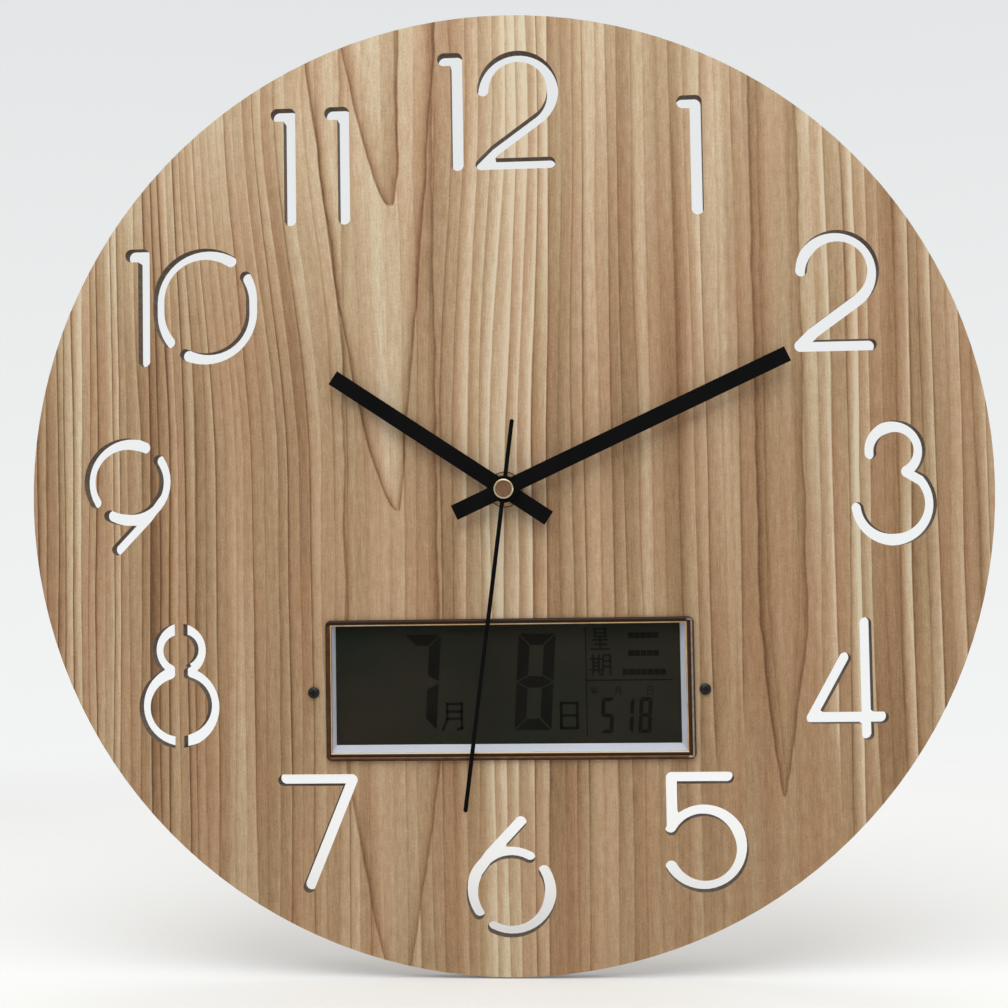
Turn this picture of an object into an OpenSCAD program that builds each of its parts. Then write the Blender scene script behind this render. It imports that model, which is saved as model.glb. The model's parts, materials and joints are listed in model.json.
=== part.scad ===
// Round wooden wall clock with cut-out numerals and a calendar window.
// Drawn in millimetres. The face looks toward -Y, +X is right, +Z is up.
// Pieces are drawn face-up (x right, y up, z toward the viewer, spindle at
// x = y = 0, wall at z = 0) and stood up by placed().

/* [Dial panel] */
// diameter of the round board
dial_d = 350; // [346:1:380]
// thickness of the board
dial_t = 6.4; // [5.4:0.1:8]
// height of the numerals
numeral_h = 44; // [42:0.5:45]
// distance from the rim to the middle of the numerals
numeral_edge = 35.4; // [34:0.1:37]
// width of the cut numeral strokes
stroke_w = 4.2; // [3.6:0.1:4.4]
// width of the stem of the numeral 1
stem_w = 4.4; // [3.8:0.1:4.6]
// width of the wood bridge left in the 8
bridge_w = 3.2; // [2.4:0.1:4]

/* [Hands] */
// minute hand length from spindle to tip
minute_len = 112.4; // [90:0.1:125]
// hour hand length from spindle to tip
hour_len = 74.8; // [55:0.1:85]
// second hand length from spindle to tip
second_len = 116.1; // [90:0.1:125]
// tail length of the minute hand
minute_tail = 19.9; // [12:0.1:26]
// tail length of the hour hand
hour_tail = 19.2; // [12:0.1:26]
// tail length of the second hand
second_tail = 25.3; // [14:0.1:30]
// width of the hour and minute hands
hand_w = 5.7; // [4:0.1:7]
// width of the second hand
second_w = 1.5; // [1:0.1:2]
// sheet thickness of the hour and minute hands
hand_t = 0.6; // [0.4:0.1:0.8]
// diameter of the brass cap
cap_d = 7.1; // [6.6:0.1:9]

/* [Calendar window] */
// outer width of the bronze bezel
bezel_w = 133.5; // [132:0.1:134]
// outer height of the bronze bezel
bezel_h = 50.9; // [50.3:0.1:51.5]
// height of the calendar centre below the spindle
calendar_drop = 71.8; // [71:0.1:73]
// width of the bezel at its narrow sides, the left and the top
bezel_band = 2.1; // [1.9:0.1:2.2]
// how much wider the bezel is at its right side
bezel_wide = 0.9; // [0.5:0.1:1.2]
// how much wider the bezel is at its foot
bezel_foot = 0.8; // [0.5:0.1:1.2]
// height of the bezel above the board
bezel_rise = 1.6; // [1.4:0.1:2]
// distance from the bezel to the front screws
screw_gap = 4.1; // [3.9:0.1:5]

/* [Calendar housing] */
// distance from the front screws to the sides of the housing
house_side = 5.1; // [4.9:0.1:7]
// free space between the circuit board and the housing walls
board_room = 0.7; // [0.4:0.1:1.2]
// thickness of the housing side walls
house_wall = 2; // [1.6:0.1:2.4]
// travel of the setting buttons
button_travel = 0.8; // [0.4:0.1:0.8]

/* [Movement] */
// side of the square movement case
mv_size = 56; // [55.5:0.5:60]
// depth of the movement case
mv_depth = 16.2; // [16.2:0.1:18]
// gap between the movement and the wall
mv_gap = 3.5; // [3.4:0.1:6]
// diameter of the setting knob
knob_d = 12; // [9:0.5:14]

/* [Hanger] */
// width of the hanger strip
hanger_w = 24; // [20:0.5:34]
// height of the keyhole above the spindle
hang_y = 40; // [38:0.5:44]
// diameter of the keyhole entry
key_d = 9; // [8:0.1:10]
// width of the keyhole slot
key_slot = 4.2; // [3.4:0.1:5]

/* [Hidden] */
$fn = 64;
e = 0.02;
over = 1;
tip_over = 0.02;

// stack of layers, measured from the wall
hanger_t = 1.0;
rubber_t = 0.8;
mv_back = mv_gap;
mv_front_z = mv_gap + mv_depth;
panel_back = mv_front_z + hanger_t + rubber_t;
panel_front = panel_back + dial_t;
washer_t = 0.5;
nut_t = 2.0;
bush_proud = 0.6;
bush_top = panel_front + washer_t + nut_t + bush_proud;
hand_step = 1.9;
hand_gap = 0.5;
hour_z = bush_top + hand_gap;
minute_z = hour_z + hand_step;
second_z = minute_z + hand_step;
cap_rise = 2.0;
cap_edge = 0.35;
cap_rim = 0.9;
cap_dish = 0.15;
cap_bore = 1.1;
second_t = 0.4;
second_hub_r = 3.0;
second_collar = 0.4;

// shaft radii, each pipe running freely on the next one in
run_gap = 0.08;
fit = 0.03;
arbor_r = 0.5;
minute_in = arbor_r + run_gap;
minute_out = 1.6;
hour_in = minute_out + run_gap;
hour_out = 2.55;
bush_in = hour_out + run_gap;
bush_out = 4.0;
shaft_gap = 0.4;
shaft_hole_r = bush_out + shaft_gap;
washer_r = 6.55;
washer_gap = 0.15;
nut_w = 10;
hub_r = 4.9;
collar_h = 0.7;
collar_wall = 0.9;
rubber_r = 13;

// numerals
numeral_r = dial_d / 2 - numeral_edge;
drawn_h = 44;
serif_extra = 0.4;
low_numeral = 2.8;

// photographed positions of the hands, clockwise from twelve
hour_turn = 304.0;
minute_turn = 65.45;
second_turn = 187.7;

// calendar window
cal_y = -calendar_drop;
lip_w = 0.75;
lip_rise = 0.9;
skirt_d = 0.7;
lip_step = 0.5;
bead_r = (bezel_band - lip_step) / 2;
seat_gap = 0.05;
sill_rise = 0.35;
open_w = bezel_w - 2 * bezel_band - bezel_wide;
open_h = bezel_h - 2 * bezel_band - bezel_foot;
hole_w = open_w + 2 * (lip_w + seat_gap);
hole_h = open_h + 2 * (lip_w + seat_gap);
lens_t = 1.2;
tray_front = panel_front - skirt_d;
tray_w = hole_w - 4 * seat_gap;
tray_h = hole_h - 4 * seat_gap;
tray_left = 0.7;
tray_right = 1.5;
tray_top = 0.55;
tray_foot = 2.15;
tray_flange = 3.0;
flange_t = 1.6;
lcd_t = 2.2;
bevel_d = 2.7;
lcd_front = tray_front - bevel_d;
lcd_back = lcd_front - lcd_t;
lcd_mid = lcd_front - lcd_t / 2;
lcd_w = tray_w - tray_left - tray_right;
lcd_h = tray_h - tray_top - tray_foot;
lcd_x = (tray_left - tray_right) / 2;
lcd_y = cal_y + (tray_foot - tray_top) / 2;
lcd_ledge = 2.5;
lcd_gap = 0.15;
view_side = 1.0;
view_top = 0.35;
view_foot = 1.0;
view_w = lcd_w - 2 * view_side;
view_h = lcd_h - view_top - view_foot;
view_y = lcd_y + (view_foot - view_top) / 2;
strip_w = 1.9;
strip_inset = 4.5;
screw_x = bezel_w / 2 + screw_gap;
screw_drop = 1.0;
screw_y = cal_y - screw_drop;
screw_shank = 1.05;
screw_slack = 0.4;
screw_head = 2.05;
screw_dome = 1.5;
screw_grip = 9;
pcb_t = 1.6;
pcb_front = panel_back - flange_t;
pcb_back = pcb_front - pcb_t;
pcb_rim = 2.5;
pcb_w = tray_w + 2 * pcb_rim;
pcb_h = tray_h + 2 * pcb_rim;
pcb_screw_out = 1.4;
pcb_screw_x = tray_w / 2 + pcb_screw_out;
pcb_screw_y = tray_h / 2 + pcb_screw_out;
pcb_shank = 0.7;
pcb_slack = 0.25;
pcb_head = 1.3;
pcb_dome = 0.9;
pcb_grip = 1.2;
pad_r = 2.2;
pad_t = 0.08;

// parts soldered to the back of the circuit board, places from its middle
chip_r = 6;
chip_t = 1.1;
chip_x = -34;
chip_y = cal_y + 18;
can_r = 1.5;
can_len = 8;
can_y = cal_y - 21;
cap_r = 2.5;
cap_len = 7;
cap_y = cal_y + 14;
tall_x = 2;
chip_w = 1.2;
chip_h = 2.0;
chip_rise = 0.6;
chip_step = 4;
row_x = 16;
row_y = cal_y - 20;
row_n = 5;

// calendar housing
house_w = 2 * (screw_x + house_side);
house_h = pcb_h + 2 * (house_wall + board_room);
house_corner = 3;
back_t = 3.2;
cell_r = 5.25;
cell_len = 44.5;
cell_lift = 0.4;
cell_gap = 0.6;
cell_z = back_t + cell_lift + cell_r;
cell_dy = cell_r + cell_gap / 2;
cell_nub = 1.0;
cell_rim = 0.25;
cell_nub_share = 0.36;
contact_t = 0.4;
contact_gap = 0.1;
contact_inset = 1;
contact_half = 4;
leaf_t = 0.3;
leaf_half = 3.5;
leaf_sag = 3.0;
leaf_h = 5;
bay_side = 16.2;
bay_x0 = bay_side - house_w / 2;
bay_x1 = bay_x0 + cell_len + 2 * contact_t + 2 * contact_gap + leaf_sag + leaf_t / 2;
bay_room = 0.4;
bay_h = 4 * cell_r + cell_gap + 2 * bay_room;
bay_wall = 1.2;
bay_top = cell_z + cell_r + cell_lift;
door_over = 2.7;
door_x0 = bay_x0 - door_over;
door_x1 = bay_x1 + door_over;
door_side = 1.8;
door_h = bay_h + 2 * door_side;
door_lip = 1.0;
door_skin = 1.0;
door_z0 = 0.5;
door_z1 = 1.9;
slide_gap = 0.1;
button_side = 21;
button_pitch = 11;
button_x = [for (i = [3 : -1 : 0]) house_w / 2 - button_side - button_pitch * i];
button_r = 3.0;
button_flange = 4.0;
flange_h = 1.0;
stem_r = 1.6;
stem_gap = 0.2;
button_gap = 0.1;
button_back = 0.3;
button_root = 0.4;
pocket_d = 1.6;
pocket_h = 13.6;
pocket_edge = 7.5;
boss_r = 2.9;
rib_w = 2;
support_r = 2.4;
support_in_x = 9.5;
support_in_y = 3.3;
support_x = pcb_w / 2 - support_in_x;
support_y = pcb_h / 2 - support_in_y;
well_wall = 1;
well_top = 9;

// movement
case_wall = 1.2;
bay_skin = 1.0;
mv_half = mv_size / 2;
part_y = -10.6;
part_w = 0.8;
cover_t = 1.5;
cover_gap = 0.15;
front_t = 1.2;
mid_z = 11.8;
mid_t = 1.0;
post_inset = 3.6;
post_x = mv_half - post_inset;
post_y1 = mv_half - post_inset;
post_low = 2.6;
post_y0 = part_y + post_low;
post_r = 1.5;
post_step = 0.5;
post_gap = 0.15;
pin_r = 0.9;
pin_gap = 0.1;
case_corner = 2;
notch_w = 14;
notch_h = 4;
notch_x = 12;
bush_flange_r = 6;
bush_flange_t = 1.2;
aa_contact_half = 5;
aa_contact_z0 = 2;
aa_contact_z1 = 13;
aa_leaf_h = 6;
aa_r = 7.25;
aa_len = 50.5;
aa_y = -(mv_half - bay_skin - part_y + part_w) / 2;
aa_z = 7.6;
aa_x = mv_half - bay_skin - contact_t - contact_gap - aa_len / 2;
aa_sag = 2 * (mv_half - bay_skin - contact_t - contact_gap) - aa_len - leaf_t / 2;

// gear train, tooth modules and centre distances
m_train = 0.3;
cd_third = (8 + 60) * m_train / 2;
m_centre = cd_third / 36;
cd_fifth = (10 + 60) * m_train / 2;
cd_rotor = (8 + 40) * m_train / 2;
m_cannon = 0.44;
cd_motion = (12 + 36) * m_cannon / 2;
m_hour = cd_motion / 25;
third_p = [cd_third, 0];
fifth_p = [0, cd_fifth];
rotor_a = 45;
rotor_p = [cd_rotor * cos(rotor_a), cd_fifth + cd_rotor * sin(rotor_a)];
motion_p = [-cd_motion, 0];
pivot_r = 0.4;
motion_r = 0.7;
pivot_c = 0.06;
pivot_z0 = 0.8;
pivot_z1 = mid_z + mid_t - 0.1;
blind_z = 0.7;
wheel_t = 0.8;
thin_t = 0.6;
fifth_z = 2.0;
seconds_z = 3.0;
third_z = 4.3;
centre_z = 6.2;
cannon_z = 7.6;
motion_z = 8.1;
hourw_z = 9.9;
stator_z = 4.6;
stator_t = 1.0;
magnet_r = 3.0;
magnet_z = stator_z - stator_t;

// turn of gear B so that its gap faces a tooth of gear A
function mesh(th, na, pa, nb) = th + 180 - 360 / nb * (0.5 - (th - pa) * na / 360);

ph_third = mesh(0, 8, 0, 60);
ph_centre = mesh(180, 8, 0, 64);
ph_fifth = mesh(90, 60, 0, 10);
ph_rotor = mesh(rotor_a, 40, 0, 8);
ph_motion = mesh(180, 12, 0, 36);
ph_hour = mesh(0, 10, 0, 40);

bronze = [0.45, 0.30, 0.17];
brass = [0.80, 0.62, 0.30];
steel = [0.72, 0.73, 0.75];
black = [0.06, 0.06, 0.065];
white = [0.90, 0.90, 0.93];
wood = [0.72, 0.56, 0.40];
cream = [0.86, 0.84, 0.76];

// helpers
module placed() {
    translate([0, 0, -hang_y]) rotate([90, 0, 0]) children();
}

// block centred in x and y, from z0 to z1
module blk(w, h, z0, z1, x = 0, y = 0) {
    translate([x - w / 2, y - h / 2, z0]) cube([w, h, z1 - z0]);
}

// block given by its edges
module slab(x0, x1, y0, y1, z0, z1) {
    translate([x0, y0, z0]) cube([x1 - x0, y1 - y0, z1 - z0]);
}

module rod(r, z0, z1, x = 0, y = 0) {
    translate([x, y, z0]) cylinder(r = r, h = z1 - z0);
}

module tube(ro, ri, z0, z1, x = 0, y = 0) {
    difference() {
        rod(ro, z0, z1, x, y);
        rod(ri, z0 - 1, z1 + 1, x, y);
    }
}

// round bar lying along x
module xrod(r, x0, x1, y, z) {
    translate([x0, y, z]) rotate([0, 90, 0]) cylinder(r = r, h = x1 - x0);
}

// block with round upright edges
module rblk(w, h, r, z0, z1, x = 0, y = 0) {
    blk(w - 2 * r, h, z0, z1, x, y);
    blk(w, h - 2 * r, z0, z1, x, y);
    for (i = [-1, 1], j = [-1, 1]) rod(r, z0, z1, x + i * (w / 2 - r), y + j * (h / 2 - r));
}

// straight stroke with square ends
module link(x0, y0, x1, y1, w, z0, z1) {
    translate([x0, y0, z0]) rotate([0, 0, atan2(y1 - y0, x1 - x0)])
        translate([0, -w / 2, 0]) cube([norm([x1 - x0, y1 - y0]), w, z1 - z0]);
}

// round end of a stroke, a hair wider than the stroke so that the two cut cleanly
module tip(x, y, w, z0, z1) {
    rod(w / 2 + tip_over, z0, z1, x, y);
}

// straight stroke with round ends
module bar(x0, y0, x1, y1, w, z0, z1) {
    link(x0, y0, x1, y1, w, z0, z1);
    tip(x0, y0, w, z0, z1);
    tip(x1, y1, w, z0, z1);
}

// curved stroke with round ends
module bow(cx, cy, r, a0, a1, w, z0, z1) {
    translate([cx, cy, z0]) rotate([0, 0, a0]) rotate_extrude(angle = a1 - a0)
        translate([r - w / 2, 0]) square([w, z1 - z0]);
    tip(cx + r * cos(a0), cy + r * sin(a0), w, z0, z1);
    tip(cx + r * cos(a1), cy + r * sin(a1), w, z0, z1);
}

// arched leaf spring standing out from the plane at x, dir = 1 toward +x
module leaf(x, y, dir, sag, z0, z1) {
    r = (leaf_half * leaf_half + sag * sag) / (2 * sag);
    a = acos(1 - sag / r);
    turn = dir > 0 ? 0 : 180;
    bow(x + dir * (sag - r), y, r, turn - a, turn + a, leaf_t, z0, z1);
}

// flat-sided toothed wheel
module gear(n, m, ph, z0, z1, kt = 0.22, kr = 0.5, add = 0.75) {
    rp = n * m / 2;
    ro = rp + add * m;
    rr = rp - 1.15 * m;
    ht = kt * 90 * m / ro;
    hr = kr * 90 * m / rr;
    pts = [for (i = [0 : n - 1], k = [0 : 3])
        let (a = ph + 360 * i / n, r = (k == 0 || k == 3) ? rr : ro)
        let (t = k == 0 ? -hr : k == 1 ? -ht : k == 2 ? ht : hr)
        [r * cos(a + t), r * sin(a + t)]];
    translate([0, 0, z0]) linear_extrude(height = z1 - z0) polygon(pts);
}

module pinion(n, m, ph, z0, z1) {
    gear(n, m, ph, z0, z1, 0.2, 0.46, 0.65);
}

// cutting depth of the numerals
cut0 = panel_back - over;
cut1 = panel_front + over;

// strokes, placed in a numeral drawn at drawn_h and brought to numeral_h
u = numeral_h / drawn_h;

module s_bar(x0, y0, x1, y1, w = stroke_w) {
    bar(u * x0, u * y0, u * x1, u * y1, w, cut0, cut1);
}

module s_link(x0, y0, x1, y1) {
    link(u * x0, u * y0, u * x1, u * y1, stroke_w, cut0, cut1);
}

module s_dot(x, y) {
    tip(u * x, u * y, stroke_w, cut0, cut1);
}

module s_bow(cx, cy, r, a0, a1) {
    bow(u * cx, u * cy, u * r, a0, a1, stroke_w, cut0, cut1);
}

// numerals, each drawn about its own middle
module digit_1(x = 0) {
    serif_w = stem_w + serif_extra;
    s_bar(x, 22 - serif_w / 2, x, -22 + stem_w / 2, stem_w);
    s_bar(x - 7 + serif_w / 2, 22 - serif_w / 2, x - 0.2, 22 - serif_w / 2, serif_w);
}

module digit_2(x = 0) {
    r = 12.85;
    cy = 22 - stroke_w / 2 - r;
    a = -50;
    by = -22 + stroke_w / 2;
    s_bow(x, cy, r, a, 178);
    s_link(x + r * cos(a), cy + r * sin(a), x - 8.4, by + 5.2);
    s_bar(x - 8.4, by + 5.2, x - 13.8, by);
    s_link(x - 13.8, by, x + 11.3, by);
    s_dot(x + 11.3, by);
}

module digit_3() {
    s_bow(0.6, 11.6, 8.7, -62, 186);
    s_bow(-0.2, -7.4, 13, -173.5, 38.5);
    s_link(0.6 + 8.7 * cos(62), 11.6 - 8.7 * sin(62), -0.2 + 13 * cos(38.5), -7.4 + 13 * sin(38.5));
}

module digit_4() {
    s_bar(-0.3, 7.4, -12.2, -13.7);
    s_link(-12.2, -13.7, 12.5, -13.7);
    s_dot(12.5, -13.7);
    s_bar(7.2, 19.8, 7.2, -19.6);
}

module digit_5() {
    s_bar(-11.6, 19.3, 8.4, 19.3);
    s_link(-11.6, 19.3, -11.6, 1.7);
    s_bow(-0.4, -5.8, 13.5, -152, 150);
    s_dot(-11.6, 1.7);
}

module digit_7() {
    s_bar(-12.4, 19.2, 12.5, 19.2);
    s_link(12.5, 19.2, -3.5, -19.2);
    s_dot(-3.5, -19.2);
}

module digit_8() {
    difference() {
        union() {
            s_bow(0.2, 12.7, 7.9, -64, 244);
            s_bow(0.2, -7.9, 12.8, 106, 434);
            s_link(0.2 - 7.9 * cos(64), 12.7 - 7.9 * sin(64), 0.2 - 12.8 * cos(74), -7.9 + 12.8 * sin(74));
            s_link(0.2 + 7.9 * cos(64), 12.7 - 7.9 * sin(64), 0.2 + 12.8 * cos(74), -7.9 + 12.8 * sin(74));
        }
        blk(bridge_w, 2 * numeral_h, cut0 - over, cut1 + over, 0.3 * u, 0);
    }
}

module digit_9() {
    s_bow(0, 5.2, 14.1, 62.5, 212);
    s_bow(0, 5.2, 14.1, -118.5, 33);
    s_link(14.1 * cos(-25), 5.2 + 14.1 * sin(-25), 7.3, -8.1);
    s_bar(7.3, -8.1, -3.8, -19.7);
}

module digit_0(x = 0) {
    r = 17.4;
    k = 2.1;
    s_bow(x, k, r, 56, 180);
    s_bow(x, -k, r, 180, 219);
    s_link(x - r, k, x - r, -k);
    s_bow(x, k, r, 0, 29);
    s_bow(x, -k, r, -115.5, 0);
    s_link(x + r, k, x + r, -k);
}

module at_hour(h, dy = 0) {
    translate([numeral_r * sin(30 * h), numeral_r * cos(30 * h) + dy, 0]) children();
}

module numerals() {
    at_hour(12) digit_1(-15.4);
    at_hour(12) digit_2(7.1);
    at_hour(1) digit_1(2.2);
    at_hour(2) digit_2(0.5);
    at_hour(3) digit_3();
    at_hour(4) digit_4();
    at_hour(5, -low_numeral) digit_5();
    at_hour(6) rotate([0, 0, 180]) digit_9();
    at_hour(7, -low_numeral) digit_7();
    at_hour(8) digit_8();
    at_hour(9) digit_9();
    at_hour(10) digit_1(-12.1);
    at_hour(10) digit_0(10.9);
    at_hour(11) digit_1(-8);
    at_hour(11) digit_1(12.1);
}

module dial_panel() {
    color(wood) placed() difference() {
        translate([0, 0, panel_back]) cylinder(r = dial_d / 2, h = dial_t, $fn = 256);
        numerals();
        rod(shaft_hole_r, cut0, cut1);
        blk(hole_w, hole_h, cut0, cut1, 0, cal_y);
        for (s = [-1, 1]) rod(screw_shank + screw_slack, cut0, cut1, s * screw_x, screw_y);
    }
}

// outline of the bezel bead, outer edge at x = 0
module bead_2d() {
    intersection() {
        translate([bead_r, bezel_rise - bead_r]) circle(r = bead_r);
        square([2 * bead_r, bezel_rise]);
    }
    square([2 * bead_r, bezel_rise - bead_r]);
}

module bead_side(len) {
    rotate([90, 0, 0]) translate([0, 0, -len / 2]) linear_extrude(height = len) bead_2d();
}

module bead_corner() {
    rotate_extrude(angle = 90) mirror([1, 0]) translate([-bezel_band, 0]) bead_2d();
}

// round bead along the outer edge, flat sill inside it and a raised lip round the opening
module calendar_bezel() {
    iw = bezel_w - 2 * bezel_band;
    ih = bezel_h - 2 * bezel_band;
    x = bezel_wide / 2;
    y = -bezel_foot / 2;
    color(bronze) placed() translate([0, cal_y, panel_front]) {
        translate([x, y, 0]) {
            for (s = [0, 180]) rotate([0, 0, s]) translate([-iw / 2 - bezel_band, 0, 0]) bead_side(ih);
            for (s = [90, 270]) rotate([0, 0, s]) translate([-ih / 2 - bezel_band, 0, 0]) bead_side(iw);
            translate([iw / 2, ih / 2, 0]) bead_corner();
            translate([-iw / 2, ih / 2, 0]) rotate([0, 0, 90]) bead_corner();
            translate([-iw / 2, -ih / 2, 0]) rotate([0, 0, 180]) bead_corner();
            translate([iw / 2, -ih / 2, 0]) rotate([0, 0, 270]) bead_corner();
        }
        difference() {
            union() {
                blk(bezel_w - 2 * bead_r, bezel_h - 2 * bead_r, 0, sill_rise, x, y);
                blk(open_w + 2 * lip_w, open_h + 2 * lip_w, -skirt_d, lip_rise);
            }
            blk(open_w, open_h, -skirt_d - over, lip_rise + over);
        }
    }
}

module calendar_lens() {
    color([0.85, 0.9, 0.95, 0.25]) placed()
        blk(open_w - 2 * seat_gap, open_h - 2 * seat_gap, tray_front, tray_front + lens_t, 0, cal_y);
}

module at_pcb_screws() {
    for (i = [-1, 1], j = [-1, 1])
        translate([i * pcb_screw_x, cal_y + j * pcb_screw_y, 0]) children();
}

// sloping white frame that carries the display
module lcd_tray() {
    x0 = lcd_x - view_w / 2;
    x1 = lcd_x + view_w / 2;
    y0 = view_y - view_h / 2;
    y1 = view_y + view_h / 2;
    u0 = -open_w / 2;
    u1 = open_w / 2;
    v0 = cal_y - open_h / 2;
    v1 = cal_y + open_h / 2;
    color(white) placed() difference() {
        union() {
            blk(tray_w, tray_h, pcb_front, tray_front, 0, cal_y);
            blk(tray_w + 2 * tray_flange, tray_h + 2 * tray_flange, pcb_front, panel_back, 0, cal_y);
        }
        slab(x0, x1, y0, y1, pcb_front - 1, tray_front + 1);
        polyhedron(points = [[x0, y0, lcd_front], [x1, y0, lcd_front], [x1, y1, lcd_front],
            [x0, y1, lcd_front], [u0, v0, tray_front], [u1, v0, tray_front], [u1, v1, tray_front],
            [u0, v1, tray_front], [u0, v0, tray_front + 1], [u1, v0, tray_front + 1],
            [u1, v1, tray_front + 1], [u0, v1, tray_front + 1]],
            faces = [[0, 1, 2, 3], [0, 4, 5, 1], [1, 5, 6, 2], [2, 6, 7, 3], [3, 7, 4, 0],
            [4, 8, 9, 5], [5, 9, 10, 6], [6, 10, 11, 7], [7, 11, 8, 4], [11, 10, 9, 8]]);
        blk(lcd_w + 2 * lcd_gap, lcd_h + 2 * lcd_gap, pcb_front - 1, lcd_front, lcd_x, lcd_y);
        at_pcb_screws() rod(pcb_shank + fit, pcb_front - 1, pcb_front + pcb_grip + 0.1);
    }
}

// two glass plates, the rear one leaves a ledge for the contact strips
module lcd_glass() {
    color([0.16, 0.16, 0.14]) placed() {
        blk(lcd_w, lcd_h, lcd_mid, lcd_front, lcd_x, lcd_y);
        blk(lcd_w, lcd_h - 2 * lcd_ledge, lcd_back, lcd_mid, lcd_x, lcd_y);
    }
}

// rubber strips that join the glass to the circuit board
module zebra_strips() {
    y = (lcd_h - lcd_ledge) / 2;
    color([0.85, 0.45, 0.55]) placed() for (s = [-1, 1])
        blk(lcd_w - 2 * strip_inset, strip_w, pcb_front, lcd_mid, lcd_x, lcd_y + s * y);
}

module calendar_pcb() {
    color([0.10, 0.36, 0.20]) placed() difference() {
        blk(pcb_w, pcb_h, pcb_back, pcb_front, 0, cal_y);
        at_pcb_screws() rod(pcb_shank + pcb_slack, pcb_back - over, pcb_front + over);
    }
}

// sealed chip, crystal, capacitor, resistors and button pads
module pcb_parts() {
    color([0.12, 0.12, 0.12]) placed() {
        rod(chip_r, pcb_back - chip_t, pcb_back, chip_x, chip_y);
        xrod(can_r, tall_x, tall_x + can_len, can_y, pcb_back - can_r);
        xrod(cap_r, tall_x, tall_x + cap_len, cap_y, pcb_back - cap_r);
        for (i = [0 : row_n - 1])
            blk(chip_w, chip_h, pcb_back - chip_rise, pcb_back, row_x + chip_step * i, row_y);
        for (x = button_x) rod(pad_r, pcb_back - pad_t, pcb_back, x, cal_y);
    }
}

module calendar_housing() {
    hw = house_w / 2;
    pocket_w = button_x[3] - button_x[0] + 2 * pocket_edge;
    pocket_x = (button_x[3] + button_x[0]) / 2;
    in0 = back_t - e;
    door_y = door_h / 2;
    color(black) placed() difference() {
        union() {
            difference() {
                rblk(house_w, house_h, house_corner, 0, panel_back, 0, cal_y);
                blk(house_w - 2 * house_wall, house_h - 2 * house_wall, back_t, panel_back + 1, 0, cal_y);
            }
            // posts behind the circuit board
            for (i = [-1, 1], j = [-1, 1])
                rod(support_r, in0, pcb_back, i * support_x, cal_y + j * support_y);
            // bosses for the two front screws
            for (s = [-1, 1]) rod(boss_r, in0, panel_back, s * screw_x, screw_y);
            for (s = [-1, 1]) slab(s > 0 ? screw_x : -hw + 1, s > 0 ? hw - 1 : -screw_x,
                screw_y - rib_w / 2, screw_y + rib_w / 2, in0, panel_back);
            // cell bay
            slab(bay_x0 - bay_wall, bay_x1 + bay_wall, cal_y - bay_h / 2 - bay_wall,
                cal_y + bay_h / 2 + bay_wall, in0, bay_top + bay_wall);
            // button wells
            for (x = button_x) rod(button_flange + well_wall, in0, well_top, x, cal_y);
        }
        slab(bay_x0, bay_x1, cal_y - bay_h / 2, cal_y + bay_h / 2, -1, bay_top);
        // door channel, open at the side edge
        slab(-hw - 1, door_x1 + slide_gap, cal_y - door_y, cal_y + door_y, door_z0, door_z1);
        slab(-hw - 1, door_x1 + slide_gap, cal_y - door_y + door_lip, cal_y + door_y - door_lip,
            -1, door_skin);
        // button pocket and holes
        rblk(pocket_w, pocket_h, house_corner, -1, pocket_d, pocket_x, cal_y);
        for (x = button_x) rod(button_r + button_gap, -1, well_top + 1, x, cal_y);
        for (x = button_x) rod(button_flange + button_gap, back_t, well_top + 1, x, cal_y);
        for (s = [-1, 1])
            rod(screw_shank + fit, panel_back - screw_grip - 0.4, panel_back + 1, s * screw_x, screw_y);
    }
}

// plates and arched leaves at the two ends of the cell bay
module housing_contacts() {
    z0 = back_t + contact_inset;
    z1 = bay_top - contact_inset;
    x0 = bay_x0 + contact_t;
    x1 = bay_x1 - contact_t;
    half = contact_half;
    y0 = cal_y - cell_dy;
    y1 = cal_y + cell_dy;
    leaf_z0 = cell_z - leaf_h / 2;
    leaf_z1 = cell_z + leaf_h / 2;
    color(steel) placed() {
        slab(bay_x0, x0, cal_y - 2 * cell_r, cal_y + 2 * cell_r, z0, z1);
        leaf(x0, y1, 1, leaf_sag, leaf_z0, leaf_z1);
        slab(x1, bay_x1, y1 - half, y1 + half, z0, z1);
        slab(x1, bay_x1, y0 - half, y0 + half, z0, z1);
        leaf(x1, y0, -1, leaf_sag, leaf_z0, leaf_z1);
    }
}

// round cell lying along x from its flat end, dir = 1 puts the raised end at +x
module cell(r, len, x, y, z, dir) {
    body = len - cell_nub;
    sleeve = 2 * cell_rim;
    translate([x - dir * len / 2, y, z]) rotate([0, 90 * dir, 0]) {
        cylinder(r = r - cell_rim, h = body);
        translate([0, 0, sleeve]) cylinder(r = r, h = body - 3 * sleeve);
        translate([0, 0, body - e]) cylinder(r = r * cell_nub_share, h = cell_nub + e);
    }
}

module cell_upper() {
    x = bay_x1 - contact_t - contact_gap - cell_len / 2;
    color([0.25, 0.42, 0.30]) placed() cell(cell_r, cell_len, x, cal_y + cell_dy, cell_z, 1);
}

module cell_lower() {
    x = bay_x0 + contact_t + contact_gap + cell_len / 2;
    color([0.25, 0.42, 0.30]) placed() cell(cell_r, cell_len, x, cal_y - cell_dy, cell_z, -1);
}

module battery_door() {
    g = slide_gap;
    wide = door_h / 2 - g;
    narrow = wide - door_lip;
    groove_w = 0.8;
    groove_step = 2;
    groove_len = 12;
    groove_x = 5;
    color([0.09, 0.09, 0.095]) placed() difference() {
        union() {
            slab(door_x0, door_x1, cal_y - wide, cal_y + wide, door_z0 + g, door_z1 - g);
            slab(door_x0, door_x1, cal_y - narrow, cal_y + narrow, g, door_skin);
        }
        // finger grooves
        for (i = [0 : 5])
            blk(groove_w, groove_len, -over, door_z0, door_x1 - groove_x - groove_step * i, cal_y);
    }
}

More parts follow.
